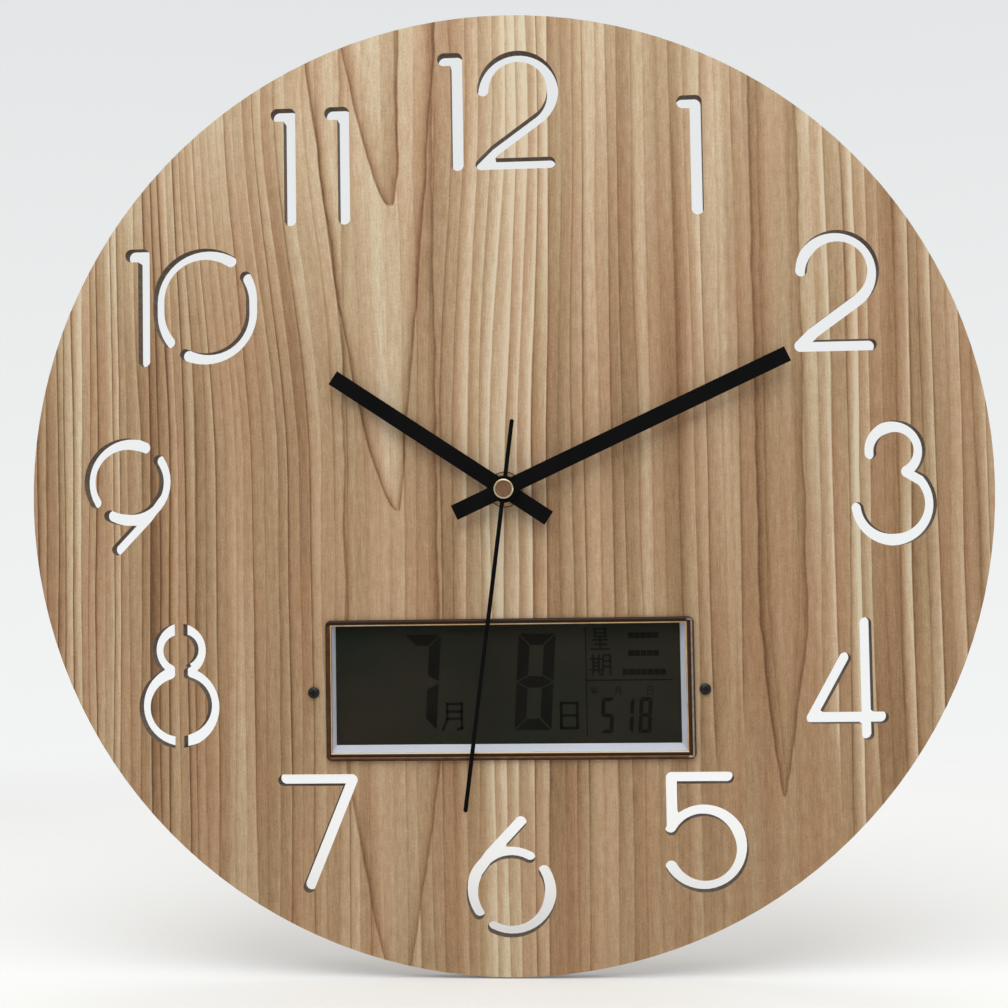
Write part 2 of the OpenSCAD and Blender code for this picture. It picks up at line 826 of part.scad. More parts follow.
module button(i) {
    x = button_x[i];
    color([0.30, 0.31, 0.33]) placed() {
        rod(button_r, button_back, back_t + button_root, x, cal_y);
        rod(button_flange, back_t + button_gap, back_t + button_gap + flange_h, x, cal_y);
        rod(stem_r, back_t, pcb_back - pad_t - button_travel - stem_gap, x, cal_y);
    }
}

module button_1() { button(0); }
module button_2() { button(1); }
module button_3() { button(2); }
module button_4() { button(3); }

// domed cross-slot screw, head underside at z = 0
module cross_screw(head_r, head_h, shank_r, shank) {
    rise = head_h / 2;
    dome = (head_r * head_r + rise * rise) / (2 * rise);
    slot_len = head_r * 1.15;
    slot_w = head_r * 0.3;
    slot_z = head_h * 0.35;
    difference() {
        union() {
            rod(head_r, 0, head_h - rise);
            intersection() {
                translate([0, 0, head_h - dome]) sphere(r = dome, $fn = 96);
                rod(head_r, 0, head_h);
            }
            rod(shank_r, -shank, e);
        }
        for (a = [0, 90]) rotate([0, 0, a])
            blk(slot_len, slot_w, slot_z, head_h + over);
    }
}

module panel_screws() {
    color(black) placed() for (s = [-1, 1]) translate([s * screw_x, screw_y, panel_front])
        cross_screw(screw_head, screw_dome, screw_shank, dial_t + screw_grip);
}

module pcb_screws() {
    color(steel) placed() at_pcb_screws() translate([0, 0, pcb_back]) mirror([0, 0, 1])
        cross_screw(pcb_head, pcb_dome, pcb_shank, pcb_t + pcb_grip);
}

// movement pieces, drawn with z = 0 at the back of the case
module mv() {
    placed() translate([0, 0, mv_back]) children();
}

module at_posts() {
    for (i = [-1, 1], y = [post_y0, post_y1]) translate([i * post_x, y, 0]) children();
}

module movement_case() {
    h = mv_half;
    in = h - case_wall;
    front = mv_depth - front_t;
    color(black) mv() {
        difference() {
            rblk(mv_size, mv_size, case_corner, 0, mv_depth);
            slab(-in, in, part_y, in, -1, front);
            slab(-h + bay_skin, h - bay_skin, -h + bay_skin, part_y - part_w, -1, front);
            rod(bush_out + seat_gap, 0, mv_depth + 1);
            // thumb notches beside the battery
            for (s = [-1, 1]) blk(notch_w, notch_h, -over, notch_h, s * notch_x, -h);
        }
        at_posts() {
            rod(post_r + post_step, mid_z + mid_t, front + e);
            rod(post_r, cover_t, mid_z + mid_t + e);
            rod(pin_r, 0.4, cover_t + e);
        }
    }
}

module movement_cover() {
    in = mv_half - case_wall - cover_gap;
    color(black) mv() difference() {
        union() {
            slab(-in, in, part_y + cover_gap, in, 0, cover_t);
            translate(third_p) rod(1.2, cover_t - e, third_z - 1.6);
            translate(motion_p) rod(1.3, cover_t - e, 2.6);
        }
        at_posts() rod(pin_r + pin_gap, -over, cover_t + over);
        rod(arbor_r + pivot_c, blind_z, cover_t + 1);
        translate(third_p) rod(pivot_r + pivot_c, blind_z, third_z);
        translate(fifth_p) rod(pivot_r + pivot_c, blind_z, cover_t + 1);
        translate(rotor_p) rod(pivot_r + pivot_c, blind_z, cover_t + 1);
        translate(motion_p) rod(motion_r + pivot_c, -1, 4);
    }
}

module threaded_bush() {
    top = bush_top - mv_back;
    lip = mv_depth - front_t;
    turns = 5;
    pitch = 0.6;
    groove = 0.25;
    color(brass) mv() difference() {
        union() {
            rod(bush_flange_r, lip - bush_flange_t, lip);
            rod(bush_out, lip - e, top);
        }
        rod(bush_in, lip - 2, top + 1);
        // grooves near the open end, where the nut is
        for (i = [0 : turns - 1]) translate([0, 0, top - 0.5 - pitch * i]) rotate_extrude()
            polygon([[bush_out + 0.1, -groove], [bush_out - groove, 0], [bush_out + 0.1, groove]]);
    }
}

// bent steel strip with a keyhole, clamped under the movement
module hanger_plate() {
    hw = hanger_w / 2;
    zf = mv_front_z;
    y1 = mv_half + 2;
    top = hang_y + 18;
    corner = 6;
    color(steel) placed() difference() {
        union() {
            slab(-hw, hw, -12, y1 + hanger_t, zf, zf + hanger_t);
            slab(-hw, hw, y1, y1 + hanger_t, 0, zf + hanger_t);
            slab(-hw, hw, y1, top - corner, 0, hanger_t);
            blk(hanger_w - 2 * corner, corner, 0, hanger_t, 0, top - corner / 2);
            for (s = [-1, 1]) rod(corner, 0, hanger_t, s * (hw - corner), top - corner);
        }
        rod(shaft_hole_r - 0.2, zf - 1, zf + 3);
        rod(key_d / 2, -1, 2, 0, hang_y);
        bar(0, hang_y, 0, hang_y + 9, key_slot, -1, 2);
    }
}

module rubber_washer() {
    color([0.13, 0.13, 0.13]) placed()
        tube(rubber_r, shaft_hole_r - seat_gap, panel_back - rubber_t, panel_back);
}

module brass_washer() {
    color(brass) placed() tube(washer_r, bush_out + washer_gap, panel_front, panel_front + washer_t);
}

module hex_nut() {
    z0 = panel_front + washer_t;
    color(brass) placed() difference() {
        intersection() {
            blk(nut_w, 2 * nut_w, z0, z0 + nut_t);
            rotate([0, 0, 60]) blk(nut_w, 2 * nut_w, z0, z0 + nut_t);
            rotate([0, 0, 120]) blk(nut_w, 2 * nut_w, z0, z0 + nut_t);
        }
        rod(bush_out + fit, z0 - 1, z0 + nut_t + 1);
    }
}

module middle_plate() {
    in = mv_half - case_wall - 0.3;
    z0 = mid_z - 1;
    z1 = mid_z + 3;
    color(cream) mv() difference() {
        slab(-in, in, part_y + 0.3, in, mid_z, mid_z + mid_t);
        at_posts() rod(post_r + post_gap, z0, z1);
        rod(hour_out + 0.2, z0, z1);
        for (q = [third_p, fifth_p, rotor_p]) translate(q) rod(pivot_r + pivot_c, z0, z1);
        translate(motion_p) rod(motion_r + pivot_c, z0, z1);
    }
}

// ring of n lightening holes of radius r, centred on the circle of radius rc
module holes(n, rc, r, z0, z1) {
    for (i = [0 : n - 1]) rod(r, z0, z1, rc * cos(360 * i / n), rc * sin(360 * i / n));
}

module seconds_wheel() {
    top = seconds_z + wheel_t;
    color(cream) mv() difference() {
        union() {
            gear(60, m_train, 0, seconds_z, top);
            pinion(8, m_train, 0, top - e, third_z + 1.3);
            rod(arbor_r, pivot_z0, second_z - mv_back + 1.3);
            rod(1.3, fifth_z, seconds_z + e);
        }
        holes(5, 4.7, 2.1, seconds_z - 1, top + 1);
    }
}

module third_wheel() {
    top = third_z + wheel_t;
    color(cream) mv() translate(third_p) difference() {
        union() {
            gear(60, m_train, ph_third, third_z, top);
            pinion(8, m_centre, 0, top - e, cannon_z);
            rod(pivot_r, pivot_z0, pivot_z1);
        }
        holes(5, 4.7, 2.1, third_z - 1, top + 1);
    }
}

module centre_wheel() {
    color(brass) mv() difference() {
        gear(64, m_centre, ph_centre, centre_z, centre_z + wheel_t);
        rod(minute_out + fit, centre_z - 1, centre_z + 2);
        holes(5, 5.15, 1.9, centre_z - 1, centre_z + 2);
    }
}

// pipe of the minute hand with its pinion
module minute_pipe() {
    color(cream) mv() difference() {
        union() {
            rod(minute_out, centre_z, minute_z - mv_back + hand_t + collar_h);
            rod(minute_out + 0.5, centre_z + wheel_t, cannon_z);
            pinion(12, m_cannon, 0, cannon_z - e, hourw_z - 0.5);
        }
        rod(minute_in, centre_z - 1, minute_z);
    }
}

module motion_wheel() {
    top = motion_z + wheel_t;
    color(cream) mv() translate(motion_p) {
        gear(36, m_cannon, ph_motion, motion_z, top);
        pinion(10, m_hour, 0, top - e, mid_z - 0.6);
        rod(motion_r, -mv_gap + 0.9, pivot_z1);
    }
}

// ribbed wheel on the back that sets the hands
module setting_knob() {
    ribs = 24;
    r = knob_d / 2;
    z0 = -mv_gap + 0.4;
    color([0.82, 0.80, 0.72]) mv() translate(motion_p) difference() {
        rod(r, z0, -0.4);
        rod(motion_r + fit, z0 + 0.45, 1);
        for (i = [0 : ribs - 1])
            rod(0.45, z0 - 1, 1, r * cos(360 * i / ribs), r * sin(360 * i / ribs), $fn = 24);
        blk(r * 1.2, r * 0.2, z0 - 1, z0 + 0.35);
    }
}

module hour_wheel() {
    top = hourw_z + wheel_t;
    color(cream) mv() difference() {
        union() {
            gear(40, m_hour, ph_hour, hourw_z, top);
            rod(hour_out, hourw_z, hour_z - mv_back + hand_t + collar_h);
        }
        rod(hour_in, hourw_z - 1, minute_z);
        holes(6, 5.2, 1.5, hourw_z - 1, top + 1);
    }
}

module fifth_wheel() {
    top = fifth_z + thin_t;
    color(cream) mv() translate(fifth_p) {
        gear(40, m_train, 0, fifth_z, top);
        pinion(10, m_train, ph_fifth, top - e, seconds_z + wheel_t + thin_t);
        rod(pivot_r, pivot_z0, pivot_z1);
    }
}

// magnet of the stepping motor with its pinion
module rotor() {
    pin0 = fifth_z - 0.2;
    pin1 = fifth_z + thin_t + thin_t;
    color([0.35, 0.35, 0.38]) mv() translate(rotor_p) {
        pinion(8, m_train, ph_rotor, pin0, pin1);
        rod(1.0, pin1 - e, magnet_z + e);
        rod(magnet_r, magnet_z, magnet_z + 3 * stator_t);
        rod(pivot_r, pivot_z0, pivot_z1);
    }
}

coil_y = mv_half - 4.7;
coil_z = stator_z + 1.5 * stator_t;
leg_x0 = -13;
leg_x1 = 18;
leg_w = 4.6;
stator_y0 = fifth_p[1] + 0.8;
stator_y1 = rotor_p[1] + magnet_r + 1.6;
core_w = 2.2;
bobbin_r = 3.0;
bobbin_x0 = leg_x0 + leg_w + 0.3;
bobbin_x1 = leg_x1 - leg_w - 0.3;
bobbin_wall = 0.8;

module stator() {
    top = stator_z + stator_t;
    color(steel) mv() {
        difference() {
            union() {
                slab(leg_x0, leg_x1, stator_y0, stator_y1, stator_z, top);
                slab(leg_x0, leg_x0 + leg_w, stator_y0, coil_y + 2.4, stator_z, top);
                slab(leg_x1 - leg_w, leg_x1, stator_y0, coil_y + 2.4, stator_z, top);
            }
            translate(rotor_p) rod(magnet_r + 0.5, stator_z - 1, top + 1);
        }
        slab(leg_x0, leg_x1, coil_y - core_w / 2, coil_y + core_w / 2, top, top + stator_t);
    }
}

module coil_bobbin() {
    w = core_w / 2 + seat_gap;
    h = stator_t / 2 + seat_gap;
    color([0.85, 0.86, 0.82]) mv() difference() {
        union() {
            xrod(1.9, bobbin_x0, bobbin_x1, coil_y, coil_z);
            xrod(bobbin_r, bobbin_x0, bobbin_x0 + bobbin_wall, coil_y, coil_z);
            xrod(bobbin_r, bobbin_x1 - bobbin_wall, bobbin_x1, coil_y, coil_z);
        }
        slab(bobbin_x0 - 1, bobbin_x1 + 1, coil_y - w, coil_y + w, coil_z - h, coil_z + h);
    }
}

// block of fine wire on the bobbin
module coil_winding() {
    x0 = bobbin_x0 + bobbin_wall + seat_gap;
    x1 = bobbin_x1 - bobbin_wall - seat_gap;
    color([0.72, 0.38, 0.18]) mv() difference() {
        xrod(bobbin_r - 0.3, x0, x1, coil_y, coil_z);
        xrod(1.95, x0 - 1, x1 + 1, coil_y, coil_z);
    }
}

// circuit board with chip and crystal
module movement_pcb() {
    x0 = -mv_half + 2.2;
    x1 = leg_x0 - 1.2;
    y0 = 10.4;
    z0 = 9.8;
    color([0.12, 0.34, 0.20]) mv() {
        slab(x0, x1, y0, post_y1 - post_r - 1.3, z0, z0 + 1);
        rod(2.6, z0 - 0.9, z0 + e, (x0 + x1) / 2, y0 + 6.2);
        xrod(0.85, x0 + 1.4, x0 + 7.4, y0 + 1.6, z0 - 0.8);
    }
}

// plates at the two ends of the battery bay, one with an arched leaf
module movement_contacts() {
    x = mv_half - bay_skin;
    y0 = aa_y - aa_contact_half;
    y1 = aa_y + aa_contact_half;
    color(steel) mv() {
        slab(-x, -x + contact_t, y0, y1, aa_contact_z0, aa_contact_z1);
        leaf(-x + contact_t, aa_y, 1, aa_sag, aa_z - aa_leaf_h / 2, aa_z + aa_leaf_h / 2);
        slab(x - contact_t, x, y0, y1, aa_contact_z0, aa_contact_z1);
    }
}

module aa_battery() {
    color([0.20, 0.30, 0.45]) mv() cell(aa_r, aa_len, aa_x, aa_y, aa_z, 1);
}

// flat bar hand with its hub, pointing at twelve before it is turned
module hand(len, tail, w, turn, z, bore) {
    placed() rotate([0, 0, -turn]) difference() {
        union() {
            slab(-w / 2, w / 2, -tail, len, z, z + hand_t);
            rod(hub_r, z, z + hand_t);
            rod(bore + collar_wall, z + hand_t - e, z + hand_t + collar_h);
        }
        rod(bore, z - over, z + hand_t + over);
    }
}

module hour_hand() {
    color(black) hand(hour_len, hour_tail, hand_w, hour_turn, hour_z, hour_out + fit);
}

module minute_hand() {
    color(black) hand(minute_len, minute_tail, hand_w, minute_turn, minute_z, minute_out + fit);
}

module second_hand() {
    r = second_w / 2;
    top = second_z + second_t;
    color(black) placed() rotate([0, 0, -second_turn]) difference() {
        union() {
            bar(0, -second_tail + r, 0, second_len - r, second_w, second_z, top);
            rod(second_hub_r, second_z, top);
            rod(arbor_r + collar_wall, second_z - second_collar, second_z + e);
        }
        rod(arbor_r + fit, second_z - 1, top + 1);
    }
}

module hand_cap() {
    z0 = second_z + second_t;
    top = z0 + cap_rise;
    r = cap_d / 2;
    color(brass) placed() difference() {
        union() {
            rod(r, z0, top - cap_edge);
            translate([0, 0, top - cap_edge]) cylinder(r1 = r, r2 = r - cap_edge, h = cap_edge);
        }
        rod(arbor_r + fit, z0 - over, z0 + cap_bore);
        rod(r - cap_rim, top - cap_dish, top + over);
    }
}

dial_panel();
calendar_bezel();
calendar_lens();
lcd_tray();
lcd_glass();
zebra_strips();
calendar_pcb();
pcb_parts();
calendar_housing();
housing_contacts();
cell_upper();
cell_lower();
battery_door();
button_1();
button_2();
button_3();
button_4();
panel_screws();
pcb_screws();
movement_case();
movement_cover();
threaded_bush();
hanger_plate();
rubber_washer();
brass_washer();
hex_nut();
middle_plate();
seconds_wheel();
third_wheel();
centre_wheel();
minute_pipe();
motion_wheel();
setting_knob();
hour_wheel();
fifth_wheel();
rotor();
stator();
coil_bobbin();
coil_winding();
movement_pcb();
movement_contacts();
aa_battery();
hour_hand();
minute_hand();
second_hand();
hand_cap();
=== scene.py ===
"""Looks of a round wooden wall clock with cut-out numerals and a calendar window."""
import json
import math

import bmesh
import bpy
from mathutils import Matrix, Vector


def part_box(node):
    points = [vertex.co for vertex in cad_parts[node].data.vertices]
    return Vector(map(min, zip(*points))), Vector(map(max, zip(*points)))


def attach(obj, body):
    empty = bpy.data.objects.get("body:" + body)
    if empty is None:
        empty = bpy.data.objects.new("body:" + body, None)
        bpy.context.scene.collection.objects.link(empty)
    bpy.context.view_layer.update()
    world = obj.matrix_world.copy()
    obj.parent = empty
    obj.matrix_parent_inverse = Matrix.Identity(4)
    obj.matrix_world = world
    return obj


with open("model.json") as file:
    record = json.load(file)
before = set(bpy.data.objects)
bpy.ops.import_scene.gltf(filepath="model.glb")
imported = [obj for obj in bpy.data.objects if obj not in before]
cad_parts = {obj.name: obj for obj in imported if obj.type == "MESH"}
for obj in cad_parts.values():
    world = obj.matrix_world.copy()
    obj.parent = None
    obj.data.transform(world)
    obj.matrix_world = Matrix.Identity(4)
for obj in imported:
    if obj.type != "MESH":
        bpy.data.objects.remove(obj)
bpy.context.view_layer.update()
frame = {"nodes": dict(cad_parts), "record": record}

MM = 0.001

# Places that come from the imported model: the face looks toward -Y, +Z is up.
panel_lo, panel_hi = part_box("dial_panel")
bezel_lo, bezel_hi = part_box("calendar_bezel")
lens_lo, lens_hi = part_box("calendar_lens")
HUB_X = (panel_lo.x + panel_hi.x) / 2
HUB_Z = (panel_lo.z + panel_hi.z) / 2
FACE_Y = panel_lo.y
LCD_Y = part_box("lcd_glass")[0].y
BASE_Z = panel_lo.z


def srgb(r, g, b):
    """Linear colour of an 8-bit screen colour."""
    def linear(v):
        v /= 255
        return v / 12.92 if v <= 0.04045 else ((v + 0.055) / 1.055) ** 2.4
    return (linear(r), linear(g), linear(b), 1.0)


# Materials. Their lengths are in millimetres, and their colours are 8-bit screen colours.

NOISE_LOW, NOISE_HIGH = 0.3, 0.7   # most of a noise lies between these


class Graph:
    """Short forms for writing a material's nodes."""

    def __init__(self, name):
        self.mat = bpy.data.materials.new(name)
        self.mat.use_nodes = True
        self.tree = self.mat.node_tree
        self.tree.nodes.clear()
        self.out = self.tree.nodes.new("ShaderNodeOutputMaterial")

    def node(self, kind, inputs=(), **settings):
        n = self.tree.nodes.new("ShaderNode" + kind)
        for key, value in settings.items():
            setattr(n, key, value)
        for key, value in dict(inputs).items():
            self.feed(n.inputs[key], value)
        return n

    def feed(self, socket, value):
        if isinstance(value, bpy.types.NodeSocket):
            self.tree.links.new(value, socket)
        else:
            socket.default_value = value

    def math(self, operation, a, b=0.0, c=0.0, clamp=False):
        n = self.node("Math", {0: a, 1: b, 2: c}, operation=operation, use_clamp=clamp)
        return n.outputs[0]

    def chain(self, operation, terms):
        total = terms[0]
        for term in terms[1:]:
            total = self.math(operation, total, term)
        return total

    def add(self, *terms):
        return self.chain("ADD", terms)

    def mul(self, *terms):
        return self.chain("MULTIPLY", terms)

    def most(self, *terms):
        return self.chain("MAXIMUM", terms)

    def least(self, *terms):
        return self.chain("MINIMUM", terms)

    def scaled(self, a, gain, shift=0.0, clamp=False):
        return self.math("MULTIPLY_ADD", a, gain, shift, clamp)

    def inverse(self, mask):
        return self.math("SUBTRACT", 1.0, mask)

    def power(self, a, exponent):
        return self.math("POWER", a, exponent)

    def decay(self, distance, rate):
        """1 at no distance, falling off at the given rate."""
        return self.math("EXPONENT", self.mul(distance, -rate))

    def position(self):
        """x, y, z of the surface in the object's own frame, from the spindle."""
        coord = self.node("TexCoord").outputs["Object"]
        split = self.node("SeparateXYZ", {0: coord}).outputs
        x = self.scaled(split[0], 1 / MM, -HUB_X / MM)
        y = self.scaled(split[1], 1 / MM)
        z = self.scaled(split[2], 1 / MM, -HUB_Z / MM)
        return x, y, z

    def radius(self, x, z):
        return self.math("SQRT", self.add(self.mul(x, x), self.mul(z, z)))

    def vec(self, x, y, z=0.0):
        return self.node("CombineXYZ", {0: x, 1: y, 2: z}).outputs[0]

    def stretched(self, x, y, z, lx, ly, lz):
        """Point scaled so that noise has features of the lengths lx, ly and lz."""
        return self.vec(self.mul(x, 1 / lx), self.mul(y, 1 / ly), self.mul(z, 1 / lz))

    def noise(self, vector, detail=2.0, rough=0.5, scale=1.0):
        n = self.node("TexNoise", {"Vector": vector, "Scale": scale, "Detail": detail,
                                   "Roughness": rough})
        return n.outputs[0]

    def even(self, place, size, detail=2.0, rough=0.5):
        """Noise with features of one size in every direction."""
        return self.noise(self.stretched(*place, size, size, size), detail, rough)

    def swing(self, vector, amount, detail=2.0, rough=0.5):
        """Noise about zero, reaching roughly plus and minus amount."""
        return self.scaled(self.noise(vector, detail, rough), 2 * amount, -amount)

    def hash(self, value):
        return self.node("TexWhiteNoise", {"W": value}, noise_dimensions="1D").outputs[0]

    def ramp(self, fac, stops):
        n = self.node("ValToRGB", {0: fac})
        points = n.color_ramp.elements
        while len(points) < len(stops):
            points.new(0.5)
        for point, (place, colour) in zip(points, stops):
            point.position = place
            point.color = colour
        return n.outputs[0]

    def shades(self, fac, *colours, low=NOISE_LOW, high=NOISE_HIGH):
        """Screen colours spaced evenly from low to high."""
        step = (high - low) / (len(colours) - 1)
        return self.ramp(fac, [(low + i * step, srgb(*c)) for i, c in enumerate(colours)])

    def greys(self, fac, dark, light):
        """Linear greys over a noise."""
        return self.ramp(fac, [(NOISE_LOW, (dark, dark, dark, 1.0)),
                               (NOISE_HIGH, (light, light, light, 1.0))])

    def blend(self, fac, a, b):
        n = self.node("Mix", data_type="RGBA", blend_type="MIX")
        self.feed(n.inputs["Factor"], fac)
        self.feed(n.inputs[6], a)
        self.feed(n.inputs[7], b)
        return n.outputs[2]

    def step(self, value, low, high):
        """0 below low, 1 above high, smooth between them."""
        n = self.node("MapRange", {"Value": value, "From Min": low, "From Max": high},
                      interpolation_type="SMOOTHSTEP")
        return n.outputs[0]

    def ease(self, value, low, high, before, after):
        """before below low, after above high, smooth between them."""
        return self.scaled(self.step(value, low, high), after - before, before)

    def bell(self, value, centre, half):
        """Smooth hump of height 1 round a centre."""
        u = self.scaled(value, 1 / half, -centre / half)
        return self.decay(self.mul(u, u), 1.0)

    def bump(self, height, depth, strength=1.0):
        n = self.node("Bump", {"Height": height, "Distance": depth * MM, "Strength": strength})
        return n.outputs[0]

    def surface(self, **inputs):
        """Principled shader to the output, and its node."""
        n = self.node("BsdfPrincipled")
        for key, value in inputs.items():
            self.feed(n.inputs[key.replace("_", " ")], value)
        self.tree.links.new(n.outputs[0], self.out.inputs[0])
        return n

    def mix_to_output(self, fac, first, second):
        mix = self.node("MixShader", {0: fac})
        self.tree.links.new(first.outputs[0], mix.inputs[1])
        self.tree.links.new(second.outputs[0], mix.inputs[2])
        self.tree.links.new(mix.outputs[0], self.out.inputs[0])


# Wood. Places are measured from the spindle, and tone runs from 0, dark, to 1, light.

LINES_PER_MM = (0.209, -0.000151, 8.7e-7)   # in the middle, and its change with x and x squared
WANDER = (
    # seed, length across, length along, sideways reach: how a growth line strays from upright
    (0.0, 38, 520, 3.0), (7.0, 8, 150, 2.4), (3.0, 3, 18, 0.18),
)
LINE_TURN = (0.89, 1.0)      # share of a line's width in which it turns into the next one
EDGE_FADE = ((3.2, 0.35), (11.0, 0.75))     # rate and weight of a dark edge's haze and core
EDGE_LEAST = 0.15            # darkness that every edge has
EDGE_RANK, LIGHT_RISE = 1.8, 1.5            # powers: few edges are dark, light grows late
RIGHT_HALF = (-60.0, 30.0)   # where the lines turn from the left side's look to the right's
# What changes there: the change, and the value at the left
EDGE_DEPTH = (-0.3, 0.85)
LIGHT_RANK = (1.6, 1.0)      # power: how few lines grow light
LIGHT_GAIN = (0.55, 0.4)
LINE_OWN_TONE = 0.3

TONGUES = (
    # tip x, tip z, height over which the legs spread, left reach and power, right reach and power,
    # strength, change of tone inside
    (-38.8, -7.5, 170.0, 33.0, 0.56, 15.0, 0.95, 1.4, 0.24),
    (-40.6, 105.0, 60.0, 17.4, 0.6, 3.6, 0.3, 1.15, -0.15),
    (98.5, -112.0, 62.0, 7.6, 0.7, 9.3, 0.95, 0.9, 0.02),
    (98.9, -103.0, 60.0, 5.2, 0.7, 6.6, 0.95, 0.5, 0.02),
    (-40.0, -190.0, 90.0, 19.0, 0.8, 15.0, 0.9, 0.8, 0.05),
)
TONGUE_WOBBLE = 1.4
TONGUE_TIP = 1.2             # height over which a tongue begins
TONGUE_EDGE = (-0.6, 0.3)
TONGUE_FADE = ((0.9, 0.72), (0.25, 0.28))   # rate and weight of the core and the haze of a leg
TONGUE_LEGS = (1.0, 0.85)    # strength of the left and right leg
TONGUE_TOP = 0.65            # share of the inner tone that is gone where the legs are widest

DRIFTS = (
    # centre x, half width, sideways push of the growth lines at the top of the board
    (-88.0, 38.0, 12.5), (-2.0, 27.0, -7.0),
)
DRIFT_RISE = (5.0, 150.0)
PLAINS = (
    # centre x, centre z, half width, half height: stretches with few growth lines
    (-45.0, 75.0, 16.0, 75.0),
    (-49.0, -20.0, 14.0, 34.0),
    (99.0, -50.0, 12.0, 90.0),
    (96.0, -125.0, 27.0, 55.0),
    (99.0, 92.0, 16.0, 52.0),
)
PLAIN_EDGE = (0.6, 1.3)      # in squares of the half sizes
BANDS = (
    # centre x, half width, change of tone: broad lighter and darker stripes
    (-160.0, 7.0, 0.12), (-143.0, 6.0, 0.07), (-130.0, 5.0, -0.14), (-98.0, 5.0, 0.07),
    (-85.0, 8.0, -0.13), (-62.0, 7.0, 0.04), (-42.0, 10.0, 0.06), (-20.0, 7.0, -0.14),
    (-3.0, 6.0, 0.16), (20.0, 8.0, -0.16), (32.0, 3.5, 0.2), (44.0, 4.0, -0.15),
    (52.0, 3.0, 0.05), (62.0, 5.0, -0.1), (80.5, 4.0, 0.16), (82.3, 1.2, -0.12),
    (90.0, 6.0, -0.08), (116.0, 9.0, 0.08), (129.0, 3.0, 0.1), (140.0, 6.0, -0.16),
    (154.0, 6.0, 0.08),
)

# Where the lines and the tone change over the board: from, to, value before, value after
SIDE_LINES = (85.0, 130.0, 1.08, 1.38)
TOP_LINES = (90.0, 150.0, 1.0, 0.85)
FOOT_FADE = (-135.0, -85.0, 0.6, 1.0)
RIGHT_STRIPES = (60.0, 90.0, 1.05, 0.75)
# Painted light: the face grows lighter towards the top, standing in for more light falling from
# above
PAINTED_TOP_LIGHT = (10.0, 180.0, 0.0, 0.15)
RIGHT_SIDE, RIGHT_TONE = (20.0, 90.0), (-120.0, 20.0, -0.1, 0.0)
LEFT_SIDE, LEFT_TONE = (-60.0, -130.0), (40.0, 130.0, -0.04, 0.08)
CALM_STRIP = (84.0, 34.0)    # centre and half width of a strip of weaker lines
CALM_LOSS = 0.35

TONGUE_PLAIN = 0.8           # how plain the inside of a tongue is
PLAIN_LOSS = 0.8             # share of the lines' strength that goes where they are few
PATCH_STRENGTH = (0.9, 0.55)
TINT_EDGE = (0.36, 0.64)     # from warm to pale

MIDDLE_TONE = 0.56
LINE_TONE, TONGUE_TONE = 0.6, -0.6
GRAIN = {
    # seed, length across, length along, detail, roughness, weight in the tone, follows the lines
    "bands": (0.0, 6, 200, 2.0, 0.6, 0.5, True),
    "clouds": (5.0, 45, 140, 1.0, 0.5, 0.2, False),
    "fibres": (2.0, 0.6, 9, 3.0, 0.65, 0.44, True),
    "flecks": (9.0, 0.4, 0.9, 2.0, 0.6, 0.4, True),
    "mottle": (6.0, 2.2, 4.5, 3.0, 0.6, 0.26, False),
}
WARM_WOOD = ((108, 72, 46), (142, 104, 72), (171, 135, 100), (195, 164, 130), (219, 198, 168))
PALE_WOOD = ((100, 72, 46), (138, 106, 73), (168, 138, 102), (195, 170, 135), (219, 204, 174))
RAW_BACK = ((134, 101, 68), (158, 122, 84), (178, 144, 104))
SCORCHED = ((76, 58, 42), (98, 78, 58), (122, 99, 75))
SKIN_EDGE = (150, 120, 86)
SKIN_DEPTH = (0.25, 0.45)    # how far the printed skin goes in from the face
FACING = 0.7                 # least share of the normal along Y on the front and the back
LINE_RELIEF, FIBRE_RELIEF, GRIT_RELIEF = 0.12, 0.35, 1.6
RELIEF_DEPTH = 0.05


def drift(g, x, z):
    """How far the growth lines are pushed sideways on either side of the tongues."""
    pushes = [g.mul(g.bell(x, centre, half), push) for centre, half, push in DRIFTS]
    return g.mul(g.add(*pushes), g.step(z, *DRIFT_RISE))


def tongues(g, x, z):
    """Darkness of the arched growth lines where the cut grazes a ring, the change of tone inside
    them and a mask of their insides."""
    dark, tone, inside = [], [], []
    for tip_x, tip_z, height, left, left_p, right, right_p, strength, change in TONGUES:
        wobble = g.swing(g.stretched(x, tip_z, z, 30, 1, 22), TONGUE_WOBBLE)
        rise = g.least(g.most(g.scaled(z, 1 / height, -tip_z / height), 0.0), 1.0)
        from_left = g.add(x, -tip_x, g.mul(g.power(rise, left_p), left), wobble)
        from_right = g.add(g.mul(x, -1.0), tip_x, g.mul(g.power(rise, right_p), right),
                           g.mul(wobble, -1.0))
        between = g.mul(g.step(from_left, *TONGUE_EDGE), g.step(from_right, *TONGUE_EDGE),
                        g.step(rise, 0.0, TONGUE_TIP / height))
        legs = []
        for inward, share in zip((from_left, from_right), TONGUE_LEGS):
            depth = g.most(inward, 0.0)
            parts = [g.mul(g.decay(depth, rate), weight) for rate, weight in TONGUE_FADE]
            legs.append(g.mul(g.add(*parts), share))
        dark.append(g.mul(g.most(*legs), between, strength))
        tone.append(g.mul(between, g.scaled(rise, -TONGUE_TOP * change, change)))
        inside.append(between)
    return g.most(*dark), g.add(*tone), g.most(*inside)


def plains(g, x, z):
    """1 where growth lines are few."""
    spots = []
    for centre_x, centre_z, half_w, half_h in PLAINS:
        u = g.scaled(x, 1 / half_w, -centre_x / half_w)
        v = g.scaled(z, 1 / half_h, -centre_z / half_h)
        spots.append(g.inverse(g.step(g.add(g.mul(u, u), g.mul(v, v)), *PLAIN_EDGE)))
    return g.most(*spots)


def stripes(g, x):
    """Broad stripes, as a change of tone."""
    return g.add(*[g.mul(g.bell(x, centre, half), change) for centre, half, change in BANDS])


